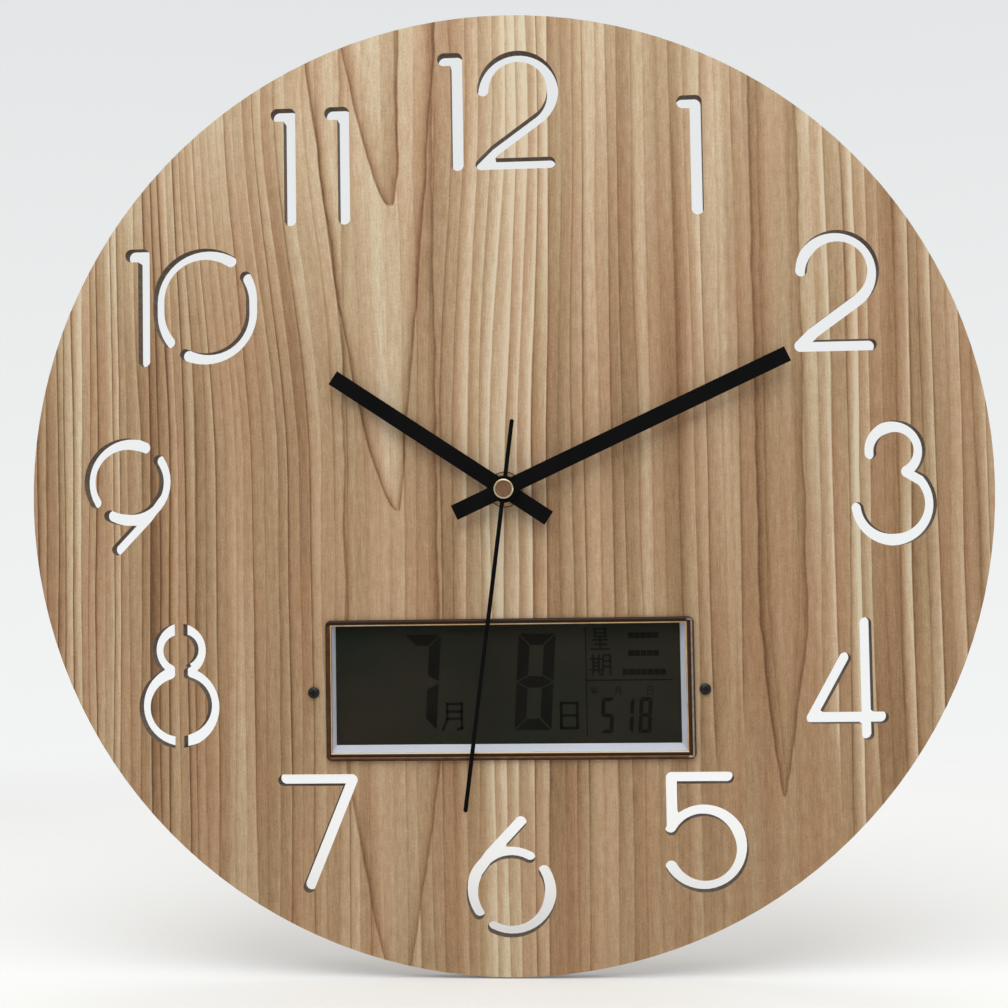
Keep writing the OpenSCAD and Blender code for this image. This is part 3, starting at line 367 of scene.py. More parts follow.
def growth_lines(g, x, z):
    """Tone of the upright growth lines: each starts dark at its left edge and grows lighter to
    its right."""
    strays = [g.swing(g.stretched(x, seed, z, across, 1, along), reach, 1.0)
              for seed, across, along, reach in WANDER]
    at = g.add(x, *strays)
    base, bend, twist = LINES_PER_MM
    place = g.mul(at, g.scaled(g.scaled(at, twist, bend), at, base))
    count = g.math("FLOOR", place)
    part = g.math("FRACT", place)
    right = g.step(x, *RIGHT_HALF)
    depth = g.scaled(right, *EDGE_DEPTH)

    def edge(line):
        """How dark the left edge of a line is."""
        return g.add(g.mul(g.power(g.hash(line), EDGE_RANK), depth), EDGE_LEAST)

    light = g.power(g.hash(g.add(count, 0.37)), g.scaled(right, *LIGHT_RANK))
    own = g.swing(g.vec(g.add(g.mul(count, 3.7), g.mul(z, 0.004)), 0.5), LINE_OWN_TONE, 0.0)
    fade = g.add(*[g.mul(g.decay(part, rate), weight) for rate, weight in EDGE_FADE])
    low = g.mul(fade, edge(count))
    high = g.mul(g.power(part, LIGHT_RISE), light, g.scaled(right, *LIGHT_GAIN))
    turn = g.step(part, *LINE_TURN)
    body = g.mul(g.add(high, own, g.mul(low, -1.0)), g.inverse(turn))
    return g.math("SUBTRACT", body, g.mul(edge(g.add(count, 1.0)), turn))


def printed_face(g, x, z):
    """Colour of the face, and the growth lines and fibres that its relief follows."""
    shifted = g.add(x, drift(g, x, z))
    dark_arcs, arc_tone, inside = tongues(g, x, z)
    few = g.most(plains(g, x, z), g.mul(inside, TONGUE_PLAIN))
    patches = g.noise(g.stretched(shifted, 0.0, z, 6, 1, 55))
    foot = g.ease(z, *FOOT_FADE)
    calm = g.mul(g.scaled(g.bell(x, *CALM_STRIP), -CALM_LOSS, 1.0), g.ease(z, *TOP_LINES))
    strength = g.mul(g.ease(g.math("ABSOLUTE", x), *SIDE_LINES), foot, calm,
                     g.mul(g.scaled(few, -PLAIN_LOSS, 1.0), g.scaled(patches, *PATCH_STRENGTH)))
    lines = g.mul(growth_lines(g, shifted, z), strength)

    grain, grain_tone = {}, []
    for name, (seed, across, along, detail, rough, weight, follows) in GRAIN.items():
        start = shifted if follows else x
        grain[name] = g.noise(g.stretched(start, seed, z, across, 1, along), detail, rough)
        grain_tone.append(g.scaled(grain[name], weight, -weight / 2))
    tone = g.add(MIDDLE_TONE, *grain_tone,
                 g.mul(stripes(g, shifted), g.mul(foot, g.ease(x, *RIGHT_STRIPES))),
                 g.ease(z, *PAINTED_TOP_LIGHT), arc_tone,
                 g.mul(g.step(x, *RIGHT_SIDE), g.ease(z, *RIGHT_TONE)),
                 g.mul(g.step(x, *LEFT_SIDE), g.ease(z, *LEFT_TONE)),
                 g.mul(lines, LINE_TONE), g.mul(dark_arcs, TONGUE_TONE))
    tint = g.step(g.noise(g.stretched(shifted, 4.0, z, 13, 1, 120)), *TINT_EDGE)
    colour = g.blend(tint, g.shades(tone, *WARM_WOOD, low=0.0, high=1.0),
                     g.shades(tone, *PALE_WOOD, low=0.0, high=1.0))
    return colour, lines, grain["fibres"]


def raw_board(g, x, y, z):
    """Colours of the raw back and of the scorched cut walls, and the grit that both have."""
    grit = g.even((x, y, z), 0.6, 3.0, 0.65)
    clump = g.even((x, y, z), 7, 3.0, 0.6)
    back = g.shades(g.add(g.mul(grit, 0.5), g.mul(clump, 0.5)), *RAW_BACK)
    streak = g.noise(g.vec(g.mul(x, 0.9), g.mul(y, 0.12), g.mul(z, 0.9)))
    scorch = g.shades(g.add(g.mul(streak, 0.6), g.mul(grit, 0.4)), *SCORCHED)
    skin = g.step(y, *(FACE_Y / MM + depth for depth in SKIN_DEPTH))
    return back, g.blend(skin, srgb(*SKIN_EDGE), scorch), grit


def wood():
    """Cedar-like printed face, raw board behind, scorched board on the cut walls."""
    g = Graph("wood")
    x, y, z = g.position()
    face, lines, fibres = printed_face(g, x, z)
    back, walls, grit = raw_board(g, x, y, z)
    normal = g.node("NewGeometry").outputs["True Normal"]
    facing = g.node("SeparateXYZ", {0: normal}).outputs[1]
    is_front = g.math("LESS_THAN", facing, -FACING)
    is_back = g.math("GREATER_THAN", facing, FACING)
    raw = g.inverse(is_front)
    relief = g.add(g.mul(lines, LINE_RELIEF), g.mul(fibres, FIBRE_RELIEF))
    height = g.add(g.mul(relief, is_front), g.mul(g.mul(grit, GRIT_RELIEF), raw))
    g.surface(Base_Color=g.blend(is_back, g.blend(is_front, walls, face), back),
              Roughness=g.add(0.46, g.scaled(fibres, 0.16, -0.08), g.mul(raw, 0.36)),
              Specular_IOR_Level=0.26, Normal=g.bump(height, RELIEF_DEPTH, 0.5))
    return g.mat


# Metals

# Widths on the bezel, from its rim or, for the gilt line, from the lens's edge
GILT_EDGE = (0.38, 0.46)
SILL_EDGE = (1.3, 1.6)
# width of the painted shadow along the bezel's outer edge, where it meets the board
RIM_SHADOW_EDGE = (0.05, 0.35)
CREST = (0.95, 0.3)          # centre and half width of the painted highlight along the crest at the right
# widths in which the painted highlight on the right crest, the painted shade along the top and the
# painted highlight on the gilt's foot fade in
CREST_FADE, TOP_SHADE_FADE, FOOT_HIGHLIGHT_FADE = 0.8, 0.3, 0.1


def bronze():
    """Dark bronze bead and sill with a thin gilt line along the opening, with painted shadow along
    the outer edge, painted shade along the top, and painted highlights on the right crest and on
    the gilt's foot.
    """
    g = Graph("bronze")
    x, y, z = g.position()

    def past(value, edge, sign):
        """How far the value lies beyond an edge."""
        return g.scaled(value, sign, -sign * edge)

    def edges(lo, hi):
        """Left, right, foot and top of a box, from the spindle."""
        return ((lo.x - HUB_X) / MM, (hi.x - HUB_X) / MM, (lo.z - HUB_Z) / MM, (hi.z - HUB_Z) / MM)

    left, right, foot, top = edges(bezel_lo, bezel_hi)
    from_rim = g.least(g.least(past(x, left, 1), past(x, right, -1)),
                       g.least(past(z, foot, 1), past(z, top, -1)))
    left, right, foot, top = edges(lens_lo, lens_hi)
    on_foot = past(z, foot, -1)
    from_lens = g.most(g.most(past(x, left, -1), past(x, right, 1)),
                       g.most(on_foot, past(z, top, 1)))
    gilt = g.inverse(g.step(from_lens, *GILT_EDGE))
    sill = g.mul(g.step(from_rim, *SILL_EDGE), g.inverse(gilt))
    # Painted shadow: the darkest line along the outer rim, in the gap between the bezel and the
    # board
    outline = g.inverse(g.step(from_rim, *RIM_SHADOW_EDGE))
    mottle = g.even((x, y, z), 3, 3.0, 0.6)
    band = g.shades(mottle, (58, 38, 26), (84, 56, 39))
    # Painted shade: the band darker along the top side, as a dark reflection from above
    band = g.blend(g.step(z, top, top + TOP_SHADE_FADE), band, srgb(42, 30, 21))
    # Painted highlight: a light streak along the crest of the bead on the right side
    crest_highlight = g.mul(g.bell(from_rim, *CREST), g.step(x, right, right + CREST_FADE),
                 g.scaled(mottle, 0.9, 0.25))
    band = g.blend(g.least(crest_highlight, 1.0), band, srgb(168, 158, 144))
    dark = g.blend(sill, g.blend(outline, band, srgb(26, 18, 12)), srgb(66, 42, 27))
    shine = g.shades(mottle, (176, 142, 96), (208, 178, 132))
    # Painted highlight: the gilt line brighter along the foot of the opening, where it faces up to
    # the light
    shine = g.blend(g.step(on_foot, -FOOT_HIGHLIGHT_FADE, FOOT_HIGHLIGHT_FADE), shine, srgb(236, 218, 180))
    fine = g.even((x, y, z), 0.4)
    g.surface(Base_Color=g.blend(gilt, dark, shine), Metallic=0.85,
              Roughness=g.add(0.24, g.mul(fine, 0.12)), Normal=g.bump(fine, 0.01, 0.4))
    return g.mat


def brushed(name, dark, light, angle, rough):
    """Metal with fine lines across its face at the given angle."""
    g = Graph(name)
    x, y, z = g.position()
    c, s = math.cos(math.radians(angle)), math.sin(math.radians(angle))
    u = g.add(g.mul(x, c), g.mul(z, s))
    v = g.add(g.mul(x, -s), g.mul(z, c))
    lines = g.noise(g.stretched(u, y, v, 9.0, 0.6, 0.09), 3.0, 0.6)
    tone = g.add(g.mul(lines, 0.7), g.mul(g.even((x, y, z), 4), 0.3))
    g.surface(Base_Color=g.shades(tone, dark, light), Metallic=1.0,
              Roughness=g.add(rough - 0.08, g.mul(lines, 0.18)), Normal=g.bump(lines, 0.008, 0.5))
    return g.mat


RINGS_PER_MM = 9.0           # fine rings of lathe-turned metal
WASHER_RIM = (0.5, 0.3)      # where the washer's darker edge begins, in from its outside
CAP_RIM, CAP_RIM_EDGE = 0.5, (-0.06, 0.02)


def turned(name, dark, light, rough=0.28):
    """Lathe-turned brass: fine rings round the spindle."""
    g = Graph(name)
    x, y, z = g.position()
    rings = g.noise(g.vec(g.mul(g.radius(x, z), RINGS_PER_MM), g.mul(y, 3.0), 0.0), 2.0, 0.6)
    tarnish = g.even((x, y, z), 2.2, 3.0, 0.6)
    tone = g.add(g.mul(rings, 0.45), g.mul(tarnish, 0.55))
    g.surface(Base_Color=g.shades(tone, dark, light, low=0.32, high=0.68), Metallic=1.0,
              Roughness=g.add(rough - 0.06, g.mul(tarnish, 0.16)),
              Normal=g.bump(rings, 0.008, 0.4))
    return g.mat


def half_width(node):
    """Half of a node's size across, in millimetres."""
    lo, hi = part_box(node)
    return (hi.x - lo.x) / 2 / MM


def washer_brass():
    """Plated washer under the hands, darker along its outer edge."""
    g = Graph("washer_brass")
    x, y, z = g.position()
    radius = g.radius(x, z)
    edge = half_width("brass_washer")
    tarnish = g.even((x, y, z), 1.4, 3.0, 0.6)
    flat = g.shades(tarnish, (126, 97, 72), (190, 163, 130))
    rim = g.step(radius, *(edge - inset for inset in WASHER_RIM))
    rings = g.noise(g.vec(g.mul(radius, RINGS_PER_MM), 0.0, 0.0), 2.0, 0.6)
    g.surface(Base_Color=g.blend(rim, flat, srgb(84, 56, 34)), Metallic=0.9,
              Roughness=g.scaled(tarnish, 0.2, 0.2), Normal=g.bump(rings, 0.01, 0.4))
    return g.mat


def cap_brass():
    """Cap of the hands: brown brushed face in a bright polished rim."""
    g = Graph("cap_brass")
    x, y, z = g.position()
    rim = half_width("hand_cap") - CAP_RIM
    lines = g.noise(g.stretched(g.add(g.mul(x, 0.7), g.mul(z, 0.7)), y,
                                g.add(g.mul(x, -0.7), g.mul(z, 0.7)), 0.14, 1, 2.4), 3.0, 0.65)
    face = g.shades(lines, (86, 62, 47), (136, 105, 80))
    shine = g.shades(lines, (176, 157, 126), (210, 196, 167))
    on_rim = g.step(g.radius(x, z), *(rim + shift for shift in CAP_RIM_EDGE))
    g.surface(Base_Color=g.blend(on_rim, face, shine), Metallic=1.0,
              Roughness=g.add(0.42, g.mul(lines, 0.14), g.mul(on_rim, -0.14)),
              Normal=g.bump(lines, 0.01, 0.5))
    return g.mat


def hand_black():
    """Black coated sheet metal with a faint sheen and dust."""
    g = Graph("hand_black")
    place = g.position()
    fine = g.even(place, 0.25, 2.0, 0.6)
    tone = g.add(g.mul(fine, 0.35), g.mul(g.even(place, 9, 3.0), 0.65))
    g.surface(Base_Color=g.shades(tone, (6, 6, 6), (12, 12, 12)),
              Roughness=g.add(0.34, g.mul(fine, 0.14)), Specular_IOR_Level=0.045,
              Normal=g.bump(fine, 0.006, 0.5))
    return g.mat


def coated(name, dark, light, rough):
    """Coated or plated small metal part."""
    g = Graph(name)
    fine = g.even(g.position(), 0.3, 3.0, 0.6)
    g.surface(Base_Color=g.shades(fine, dark, light), Metallic=0.6,
              Roughness=g.add(rough - 0.05, g.mul(fine, 0.12)), Normal=g.bump(fine, 0.01, 0.5))
    return g.mat


def winding():
    """Enamelled copper wire, turn beside turn round the bobbin."""
    g = Graph("winding")
    x, y, z = g.position()
    turns = g.node("TexWave", {"Vector": g.vec(x, g.mul(y, 0.02), 0.0), "Scale": 1.6,
                               "Distortion": 0.3},
                   wave_type="BANDS", bands_direction="X").outputs[1]
    cloud = g.even((x, y, z), 2)
    tone = g.add(g.mul(turns, 0.7), g.mul(cloud, 0.3))
    g.surface(Base_Color=g.shades(tone, (118, 52, 22), (214, 128, 70), low=0.2, high=0.8),
              Metallic=0.9, Roughness=g.scaled(cloud, 0.1, 0.28), Normal=g.bump(turns, 0.05, 0.8))
    return g.mat


# Plastics, rubber and glass

def moulded(name, dark, light, rough=0.5, grain=0.35, depth=0.012, spec=0.22):
    """Moulded plastic with a fine spark-eroded grain and faint flow marks."""
    g = Graph(name)
    place = g.position()
    fine = g.even(place, grain, 2.0, 0.6)
    flow = g.noise(g.stretched(*place, 24, 8, 14), 3.0)
    tone = g.add(g.mul(fine, 0.4), g.mul(flow, 0.6))
    g.surface(Base_Color=g.shades(tone, dark, light),
              Roughness=g.add(rough - 0.06, g.mul(fine, 0.12)), Specular_IOR_Level=spec,
              Normal=g.bump(fine, depth, 0.7))
    return g.mat


LENS_IOR = 1.45
LENS_STRAIGHT = 0.036   # share of light that a lens seen straight on sends back, left out here


def lens_clear():
    """Thin clear acrylic: see-through, with a gloss on its outer side at slanting angles and a
    few faint smears."""
    g = Graph("lens_clear")
    smear = g.noise(g.stretched(*g.position(), 30, 30, 14), 3.0, 0.6)
    gloss = g.node("BsdfGlossy", {"Color": g.greys(smear, 0.86, 1.0),
                                  "Roughness": g.scaled(smear, 0.08, 0.02)})
    clear = g.node("BsdfTransparent", {"Color": g.greys(smear, 0.97, 0.99)})
    fresnel = g.node("Fresnel", {"IOR": LENS_IOR}).outputs[0]
    slanting = g.scaled(fresnel, 1.0, -LENS_STRAIGHT, clamp=True)
    outer = g.inverse(g.node("NewGeometry").outputs["Backfacing"])
    g.mix_to_output(g.mul(slanting, outer), clear, gloss)
    return g.mat


LCD_SPECULAR = 0.03


def lcd_film():
    """Grey-olive polariser of the unlit display."""
    g = Graph("lcd_film")
    place = g.position()
    cloud = g.noise(g.stretched(*place, 46, 40, 26))
    grain = g.even(place, 0.5, 2.0, 0.6)
    tone = g.add(g.mul(cloud, 0.75), g.mul(grain, 0.25))
    g.surface(Base_Color=g.shades(tone, (37, 41, 33), (44, 43, 35), (50, 46, 38)),
              Roughness=g.scaled(grain, 0.1, 0.38), Specular_IOR_Level=LCD_SPECULAR)
    return g.mat


def lcd_ink(name, dark, light):
    """Darkened segments and marks of the display."""
    g = Graph(name)
    cloud = g.even(g.position(), 12)
    g.surface(Base_Color=g.shades(cloud, dark, light), Roughness=g.scaled(cloud, 0.08, 0.4),
              Specular_IOR_Level=LCD_SPECULAR)
    return g.mat


def circuit():
    """Green solder mask with darker copper tracks under it."""
    g = Graph("circuit")
    x, y, z = g.position()
    tracks = g.node("TexWave", {"Vector": g.vec(g.mul(x, 0.12), g.mul(z, 0.3)), "Scale": 1.6,
                                "Distortion": 7.0, "Detail": 1.0}).outputs[1]
    fine = g.even((x, y, z), 0.5)
    tone = g.add(g.mul(tracks, 0.6), g.mul(fine, 0.4))
    g.surface(Base_Color=g.shades(tone, (18, 82, 42), (34, 110, 60), low=0.35, high=0.6),
              Roughness=g.scaled(fine, 0.1, 0.3), Normal=g.bump(tracks, 0.03, 0.5))
    return g.mat


SLEEVE_BAND = 0.3        # the coloured band's share of a battery's length
PLUS_METAL, MINUS_METAL = (1.7, 1.8), (0.55, 0.45)   # bare metal at the ends
GOLD_BAND = (196, 168, 92)
CELL_GREEN = ((30, 74, 52), (44, 96, 68))
BATTERY_BLUE = ((34, 50, 86), (50, 68, 110))


def cell_sleeve(name, box, body_colours, plus_right=True):
    """Printed sleeve of a battery: plain body, a coloured band at the plus end and bare metal
    ends."""
    g = Graph(name)
    x, y, z = g.position()
    lo, hi = box[0].x / MM, box[1].x / MM
    length = hi - lo
    from_plus = g.math("SUBTRACT", hi, x) if plus_right else g.add(x, -lo)
    fine = g.even((x, y, z), 0.6)
    scuff = g.noise(g.stretched(x, y, z, 6, 3, 3), 3.0, 0.6)
    band_end = length * SLEEVE_BAND
    stripe = g.inverse(g.step(from_plus, band_end, band_end + 0.1))
    paint = g.blend(stripe, g.shades(scuff, *body_colours), srgb(*GOLD_BAND))
    metal = g.most(g.inverse(g.step(from_plus, *PLUS_METAL)),
                   g.step(from_plus, *(length - inset for inset in MINUS_METAL)))
    g.surface(Base_Color=g.blend(metal, paint, srgb(196, 197, 198)), Metallic=g.mul(metal, 0.95),
              Roughness=g.add(0.26, g.mul(scuff, 0.12)), Normal=g.bump(fine, 0.01, 0.3))
    return g.mat


SLOT_LOOKS = {
    "wood": wood(),
    "bronze": bronze(),
    "lens": lens_clear(),
    "white_plastic": moulded("white_plastic", (208, 213, 224), (220, 225, 236), 0.42, 0.3, 0.006),
    "lcd": lcd_film(),
    "zebra": moulded("zebra_rubber", (196, 118, 132), (222, 146, 158), 0.6),
    "pcb": circuit(),
    "parts_black": moulded("parts_black", (30, 30, 31), (48, 48, 49), 0.38),
    "black_plastic": moulded("black_plastic", (36, 36, 38), (54, 54, 56), 0.5, 0.32, 0.02),
    "grey_plastic": moulded("grey_plastic", (120, 122, 126), (140, 142, 146)),
    "steel": brushed("steel", (146, 148, 152), (188, 190, 194), 90, 0.34),
    "black_steel": coated("black_steel", (15, 15, 15), (36, 35, 34), 0.4),
    "black_hand": hand_black(),
    "brass": turned("brass", (170, 124, 66), (222, 182, 116)),
    "rubber": moulded("rubber", (28, 28, 28), (44, 44, 44), 0.8, 0.5, 0.03, 0.25),
    "cream_plastic": moulded("cream_plastic", (222, 216, 198), (238, 233, 218), 0.45),
    "magnet": coated("magnet", (84, 85, 90), (122, 123, 128), 0.42),
    "copper": winding(),
    "cell_wrap": cell_sleeve("cell_sleeve_up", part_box("cell_upper"), CELL_GREEN),
    "battery_wrap": cell_sleeve("battery_sleeve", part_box("aa_battery"), BATTERY_BLUE),
}
NODE_LOOKS = {
    "hand_cap": cap_brass(),
    "brass_washer": washer_brass(),
    "cell_lower": cell_sleeve("cell_sleeve_down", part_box("cell_lower"), CELL_GREEN, False),
}


def dress(obj, material):
    obj.data.materials.clear()
    obj.data.materials.append(material)


for subpart in frame["record"]["subparts"]:
    node = subpart["node"]
    look = NODE_LOOKS.get(node) or SLOT_LOOKS[subpart["material_slot"]]
    dress(frame["nodes"][node], look)


# Thin pieces drawn in the plane of the face, in millimetres from the spindle

def plates(name, outlines, y_back, depth, material):
    """Flat pieces from outlines of (x, z), standing depth out of the plane y_back toward -Y."""
    bm = bmesh.new()
    for outline in outlines:
        points = [Vector((HUB_X + px * MM, y_back, HUB_Z + pz * MM)) for px, pz in outline]
        back = [bm.verts.new(p) for p in points]
        front = [bm.verts.new(p + Vector((0, -depth, 0))) for p in points]
        bm.faces.new(front)
        bm.faces.new(list(reversed(back)))
        for i in range(len(points)):
            j = (i + 1) % len(points)
            bm.faces.new((back[i], back[j], front[j], front[i]))
    bmesh.ops.recalc_face_normals(bm, faces=bm.faces)
    obj = add_mesh(name, bm)
    dress(obj, material)
    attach(obj, "clock")


def add_mesh(name, bm):
    """Object in the scene from a bmesh, which is freed."""
    mesh = bpy.data.meshes.new(name)
    bm.to_mesh(mesh)
    bm.free()
    obj = bpy.data.objects.new(name, mesh)
    bpy.context.scene.collection.objects.link(obj)
    return obj


def stroke_line(x0, z0, x1, z1, width):
    """Outline of a straight stroke."""
    along = Vector((x1 - x0, z1 - z0)).normalized() * width / 2
    side = Vector((-along.y, along.x))
    ends = ((x0, z0, -1, 1), (x0, z0, -1, -1), (x1, z1, 1, -1), (x1, z1, 1, 1))
    return [(x + a * along.x + s * side.x, z + a * along.y + s * side.y) for x, z, a, s in ends]


# The display's figures, bars and marks

FIGURE_SLANT = 0.061
SEGMENTS_OF = {"1": "bc", "5": "afgcd", "7": "abc", "8": "abcdefg"}
LARGE = (13.4, 34.9, 4.1, 0.4)   # width, height, stroke and gap of a figure
SMALL = (4.6, 12.8, 1.35, 0.15)
FIGURES = (
    # figure, left, bottom, size
    ("7", -39.9, -87.3, LARGE), ("8", 1.9, -87.4, LARGE),
    ("5", 33.0, -88.7, SMALL), ("1", 40.2, -88.7, SMALL), ("8", 46.7, -88.7, SMALL),
)
BARS = (
    # left, right, top, number of blocks
    (43.6, 54.8, -52.5, 5), (43.6, 54.8, -58.9, 5), (41.5, 57.2, -65.7, 7),
)
BAR_HEIGHT, BLOCK_GAP = 2.1, 0.18
RULES = (
    # x and z of both ends, width
    (28.3, -50.6, 28.3, -89.4, 0.38), (28.3, -69.6, 59.4, -69.6, 0.45),
)

# Generic calendar marks: strokes from x, z to x, z in shares of the mark's box
MONTH_MARK = ((0.22, 1, 0.22, 0.4), (0.22, 0.4, 0.0, 0.0), (0.22, 1, 1, 1), (1, 1, 1, 0.05),
              (1, 0.05, 0.8, 0.0), (0.22, 0.7, 1, 0.7), (0.22, 0.42, 1, 0.42))
DAY_MARK = ((0, 0, 0, 1), (0, 1, 1, 1), (1, 1, 1, 0), (1, 0, 0, 0), (0, 0.5, 1, 0.5))
YEAR_MARK = ((0.3, 1, 0, 0.7), (0.2, 0.8, 1, 0.8), (0.25, 0.5, 0.9, 0.5), (0, 0.25, 1, 0.25),
             (0.55, 0.8, 0.55, 0), (0.25, 0.5, 0.25, 0.25))
STAR_MARK = ((0.2, 1, 0.8, 1), (0.2, 0.8, 0.8, 0.8), (0.2, 0.62, 0.8, 0.62), (0.2, 1, 0.2, 0.62),
             (0.8, 1, 0.8, 0.62), (0.12, 0.46, 0.9, 0.46), (0.5, 0.58, 0.5, 0.0),
             (0.2, 0.24, 0.82, 0.24), (0.0, 0.0, 1.0, 0.0))
PERIOD_MARK = ((0.0, 0.82, 0.5, 0.82), (0.1, 1, 0.1, 0.25), (0.4, 1, 0.4, 0.25),
               (0.1, 0.62, 0.4, 0.62), (0.1, 0.44, 0.4, 0.44), (0.0, 0.25, 0.52, 0.25),
               (0.12, 0.16, 0.04, 0.0), (0.38, 0.16, 0.46, 0.0), (0.62, 1, 0.62, 0.3),
               (0.62, 0.3, 0.55, 0.0), (0.62, 1, 0.98, 1), (0.98, 1, 0.98, 0.0),
               (0.62, 0.7, 0.98, 0.7), (0.62, 0.42, 0.98, 0.42))
DARK_MARKS = (
    # mark, left, bottom, width, height, line
    (MONTH_MARK, -24.0, -86.9, 6.8, 9.2, 0.95), (DAY_MARK, 19.0, -86.7, 5.8, 9.0, 0.95),
)
FAINT_MARKS = (
    # the same for the weekday's words and the small print
    (STAR_MARK, 30.2, -58.4, 6.6, 7.4, 0.66), (PERIOD_MARK, 30.2, -67.6, 7.0, 7.0, 0.66),
    (MONTH_MARK, 38.6, -74.8, 2.0, 2.8, 0.3), (DAY_MARK, 50.4, -74.8, 1.8, 2.8, 0.3),
    (YEAR_MARK, 29.8, -74.6, 2.6, 2.6, 0.3),
)
DARK_INK = 0.03 * MM
FAINT_INK = DARK_INK / 2


def segment_figure(figure, left, bottom, size):
    """Outlines of the lit segments of a slanted seven-segment figure."""
    w, h, t, c = size
    m = h / 2
    half = t / 2
    shapes = {
        "a": ((c, h), (w - c, h), (w - c - t, h - t), (c + t, h - t)),
        "d": ((c, 0), (c + t, t), (w - c - t, t), (w - c, 0)),
        "g": ((c, m), (t, m + half), (w - t, m + half), (w - c, m), (w - t, m - half),
              (t, m - half)),
        "b": ((w, h - c), (w, m + c), (w - t, m + half + c), (w - t, h - t - c)),
        "c": ((w, m - c), (w, c), (w - t, t + c), (w - t, m - half - c)),
        "f": ((0, h - c), (t, h - t - c), (t, m + half + c), (0, m + c)),
        "e": ((0, m - c), (t, m - half - c), (t, t + c), (0, c)),
    }
    return [[(left + px + FIGURE_SLANT * pz, bottom + pz) for px, pz in shapes[s]]
            for s in SEGMENTS_OF[figure]]


def glyph(strokes, left, bottom, width, height, line):
    """Outlines of a mark."""
    return [stroke_line(left + a * width, bottom + b * height,
                        left + c * width, bottom + d * height, line) for a, b, c, d in strokes]


def block_bar(left, right, top, count):
    """A bar made of short blocks."""
    pitch = (right - left) / count
    foot = top - BAR_HEIGHT
    blocks = []
    for i in range(count):
        start, end = left + i * pitch, left + (i + 1) * pitch - BLOCK_GAP
        blocks.append(((start, top), (end, top), (end, foot), (start, foot)))
    return blocks


def calendar_display():
    """Dark figures and fainter marks on the front of the display glass."""
    dark = []
    for figure in FIGURES:
        dark += segment_figure(*figure)
    for bar in BARS:
        dark += block_bar(*bar)
    for mark in DARK_MARKS:
        dark += glyph(*mark)
    dark += [stroke_line(*rule) for rule in RULES]
    plates("display_digits", dark, LCD_Y, DARK_INK,
           lcd_ink("lcd_dark", (22, 21, 16), (27, 26, 21)))
    faint = []
    for mark in FAINT_MARKS:
        faint += glyph(*mark)
    plates("display_marks", faint, LCD_Y, FAINT_INK,
           lcd_ink("lcd_faint", (27, 26, 21), (31, 30, 24)))


calendar_display()


# Raised signs on the movement's cover

SIGN_LINE, SIGN_HEIGHT = 0.6, 0.3
POLE_X = 20.5            # the signs of the cell's poles, either side of the spindle
POLE_UP = 3.2            # from the cover's lower edge
POLE_ARM = 1.4
ARROW_ARCS = ((55, 125), (235, 305))   # start and end of each turning arrow, in degrees
ARROW_CLEAR = 2.6        # from the knob's edge
ARROW_HALF, ARROW_SLIM = 1.1, 1.6      # half width of a head, and its length in half widths
ARC_STEPS = 24


def on_circle(centre, radius, angle):
    return (centre[0] + radius * math.cos(angle), centre[1] + radius * math.sin(angle))


def arc_band(centre, radius, start, end):
    """Outline of a curved line, with angles in degrees."""
    angles = [math.radians(start + (end - start) * i / ARC_STEPS) for i in range(ARC_STEPS + 1)]
    outer = [on_circle(centre, radius + SIGN_LINE / 2, a) for a in angles]
    inner = [on_circle(centre, radius - SIGN_LINE / 2, a) for a in angles]
    return outer + inner[::-1]


def arrow_head(centre, radius, angle):
    """Triangle at the end of a curved line, pointing on along it."""
    a = math.radians(angle)
    tip = a + ARROW_SLIM * ARROW_HALF / radius
    return [on_circle(centre, radius - ARROW_HALF, a), on_circle(centre, radius + ARROW_HALF, a),
            on_circle(centre, radius, tip)]


def cover_marks():
    """The cell's plus and minus, and the turning of the setting knob."""
    cover_lo, cover_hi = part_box("movement_cover")
    knob_lo, knob_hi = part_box("setting_knob")
    knob = (((knob_lo.x + knob_hi.x) / 2 - HUB_X) / MM, ((knob_lo.z + knob_hi.z) / 2 - HUB_Z) / MM)
    pole_z = (cover_lo.z - HUB_Z) / MM + POLE_UP
    half = SIGN_LINE / 2
    marks = [stroke_line(POLE_X - POLE_ARM, pole_z, POLE_X - half, pole_z, SIGN_LINE),
             stroke_line(POLE_X + half, pole_z, POLE_X + POLE_ARM, pole_z, SIGN_LINE),
             stroke_line(POLE_X, pole_z - POLE_ARM, POLE_X, pole_z + POLE_ARM, SIGN_LINE),
             stroke_line(-POLE_X - POLE_ARM, pole_z, -POLE_X + POLE_ARM, pole_z, SIGN_LINE)]
    ring = half_width("setting_knob") + ARROW_CLEAR
    for start, end in ARROW_ARCS:
        marks.append(arc_band(knob, ring, start, end))
        marks.append(arrow_head(knob, ring, end))
    height = SIGN_HEIGHT * MM
    plates("cover_marks", marks, cover_hi.y + height, height,
           moulded("mark_plastic", (62, 62, 65), (78, 78, 81)))


cover_marks()


# Stage: pale floor that fades into a pale surround, soft lamps and the camera, in metres

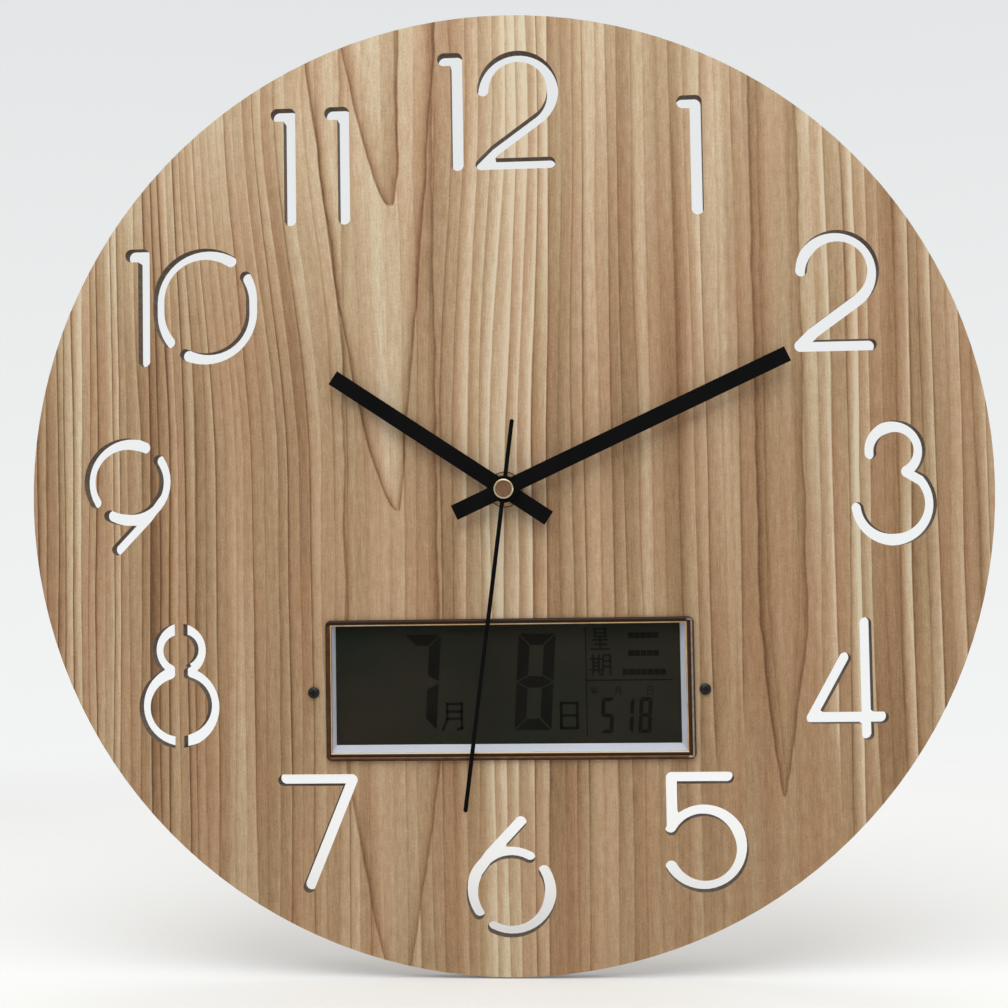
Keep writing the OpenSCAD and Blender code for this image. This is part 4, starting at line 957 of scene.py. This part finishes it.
SKY_SPAN = (-0.3, 0.36)      # heights on the surround's sphere, of radius 1
SKY_COLOURS = ((0.0, (248, 248, 247)), (0.42, (240, 242, 242)), (1.0, (226, 228, 229)))
WORLD_COLOUR, WORLD_LIGHT = (250, 251, 255), 0.3
FLOOR_COLOURS = ((233, 233, 230), (238, 238, 235))
FLOOR_RADIUS = 0.8
FLOOR_FADE = (0.28, 0.75, 0.15, 1.0)   # from, to, how see-through before and after
FLOOR_GAP = 0.5 * MM
AIM = (0, 0, HUB_Z)
LAMPS = (
    # name, place, diameter, watts
    ("key", (-0.04, -0.38, 0.64), 1.1, 8.2),
    ("side", (0.9, -0.12, -0.08), 0.14, 0.45),
    ("top", (0.0, 0.35, 1.0), 0.9, 4.2),
    ("rear", (0.3, 1.1, 0.1), 1.3, 6.5),
)
CAM_PLACE = (0.03087, -0.62719, -0.0597)
CAM_YAW, CAM_PITCH, CAM_ROLL = 3.927, 2.801, -0.886   # degrees
SENSOR_MM, LENS_MM = 36, 58.93
SHIFT = (0.0276, -0.0402)


def surround():
    """World: soft even light, and a pale gradient where the camera, gloss or glass sees it."""
    world = bpy.data.worlds.new("surround")
    bpy.context.scene.world = world
    world.use_nodes = True
    tree = world.node_tree
    tree.nodes.clear()
    new, link = tree.nodes.new, tree.links.new
    coord = new("ShaderNodeTexCoord")
    split = new("ShaderNodeSeparateXYZ")
    link(coord.outputs["Generated"], split.inputs[0])
    span = new("ShaderNodeMapRange")
    link(split.outputs[2], span.inputs["Value"])
    span.inputs["From Min"].default_value, span.inputs["From Max"].default_value = SKY_SPAN
    ramp = new("ShaderNodeValToRGB")
    link(span.outputs[0], ramp.inputs[0])
    ramp.color_ramp.elements.new(0.5)
    for point, (place, colour) in zip(ramp.color_ramp.elements, SKY_COLOURS):
        point.position = place
        point.color = srgb(*colour)
    seen = new("ShaderNodeBackground")
    link(ramp.outputs[0], seen.inputs["Color"])
    lighting = new("ShaderNodeBackground")
    lighting.inputs["Color"].default_value = srgb(*WORLD_COLOUR)
    lighting.inputs["Strength"].default_value = WORLD_LIGHT
    path = new("ShaderNodeLightPath")
    shown = path.outputs["Is Camera Ray"]
    for ray in ("Is Glossy Ray", "Is Transmission Ray"):
        either = new("ShaderNodeMath")
        either.operation = "MAXIMUM"
        link(shown, either.inputs[0])
        link(path.outputs[ray], either.inputs[1])
        shown = either.outputs[0]
    mix = new("ShaderNodeMixShader")
    link(shown, mix.inputs[0])
    link(lighting.outputs[0], mix.inputs[1])
    link(seen.outputs[0], mix.inputs[2])
    link(mix.outputs[0], new("ShaderNodeOutputWorld").inputs[0])


def floor():
    """Pale floor under the clock, fading out around it."""
    g = Graph("floor")
    coord = g.node("TexCoord").outputs["Object"]
    split = g.node("SeparateXYZ", {0: coord}).outputs
    far = g.radius(split[0], split[1])
    cloud = g.noise(coord, scale=3.0)
    solid = g.surface(Base_Color=g.shades(cloud, *FLOOR_COLOURS),
                      Roughness=0.9, Specular_IOR_Level=0.1)
    g.mix_to_output(g.ease(far, *FLOOR_FADE), solid, g.node("BsdfTransparent"))
    bm = bmesh.new()
    bmesh.ops.create_circle(bm, cap_ends=True, segments=256, radius=FLOOR_RADIUS)
    obj = add_mesh("floor", bm)
    obj.location = (0, 0, BASE_Z - FLOOR_GAP)
    dress(obj, g.mat)


def lamp(name, place, size, power):
    """Soft round lamp aimed at the spindle."""
    data = bpy.data.lights.new(name, "AREA")
    data.shape = "DISK"
    data.size = size
    data.energy = power
    obj = bpy.data.objects.new(name, data)
    obj.location = place
    obj.rotation_mode = "QUATERNION"
    obj.rotation_quaternion = (Vector(AIM) - Vector(place)).to_track_quat("-Z", "Y")
    obj.visible_camera = False
    bpy.context.scene.collection.objects.link(obj)


def camera():
    data = bpy.data.cameras.new("camera")
    data.sensor_width = SENSOR_MM
    data.lens = LENS_MM
    data.shift_x, data.shift_y = SHIFT
    data.clip_start = 0.01
    obj = bpy.data.objects.new("camera", data)
    turn = (Matrix.Rotation(math.radians(CAM_YAW), 4, "Z")
            @ Matrix.Rotation(math.radians(90 + CAM_PITCH), 4, "X")
            @ Matrix.Rotation(math.radians(CAM_ROLL), 4, "Z"))
    obj.matrix_world = Matrix.Translation(CAM_PLACE) @ turn
    bpy.context.scene.collection.objects.link(obj)
    bpy.context.scene.camera = obj


surround()
floor()
for settings in LAMPS:
    lamp(*settings)
camera()
bpy.context.scene.view_settings.view_transform = "Standard"
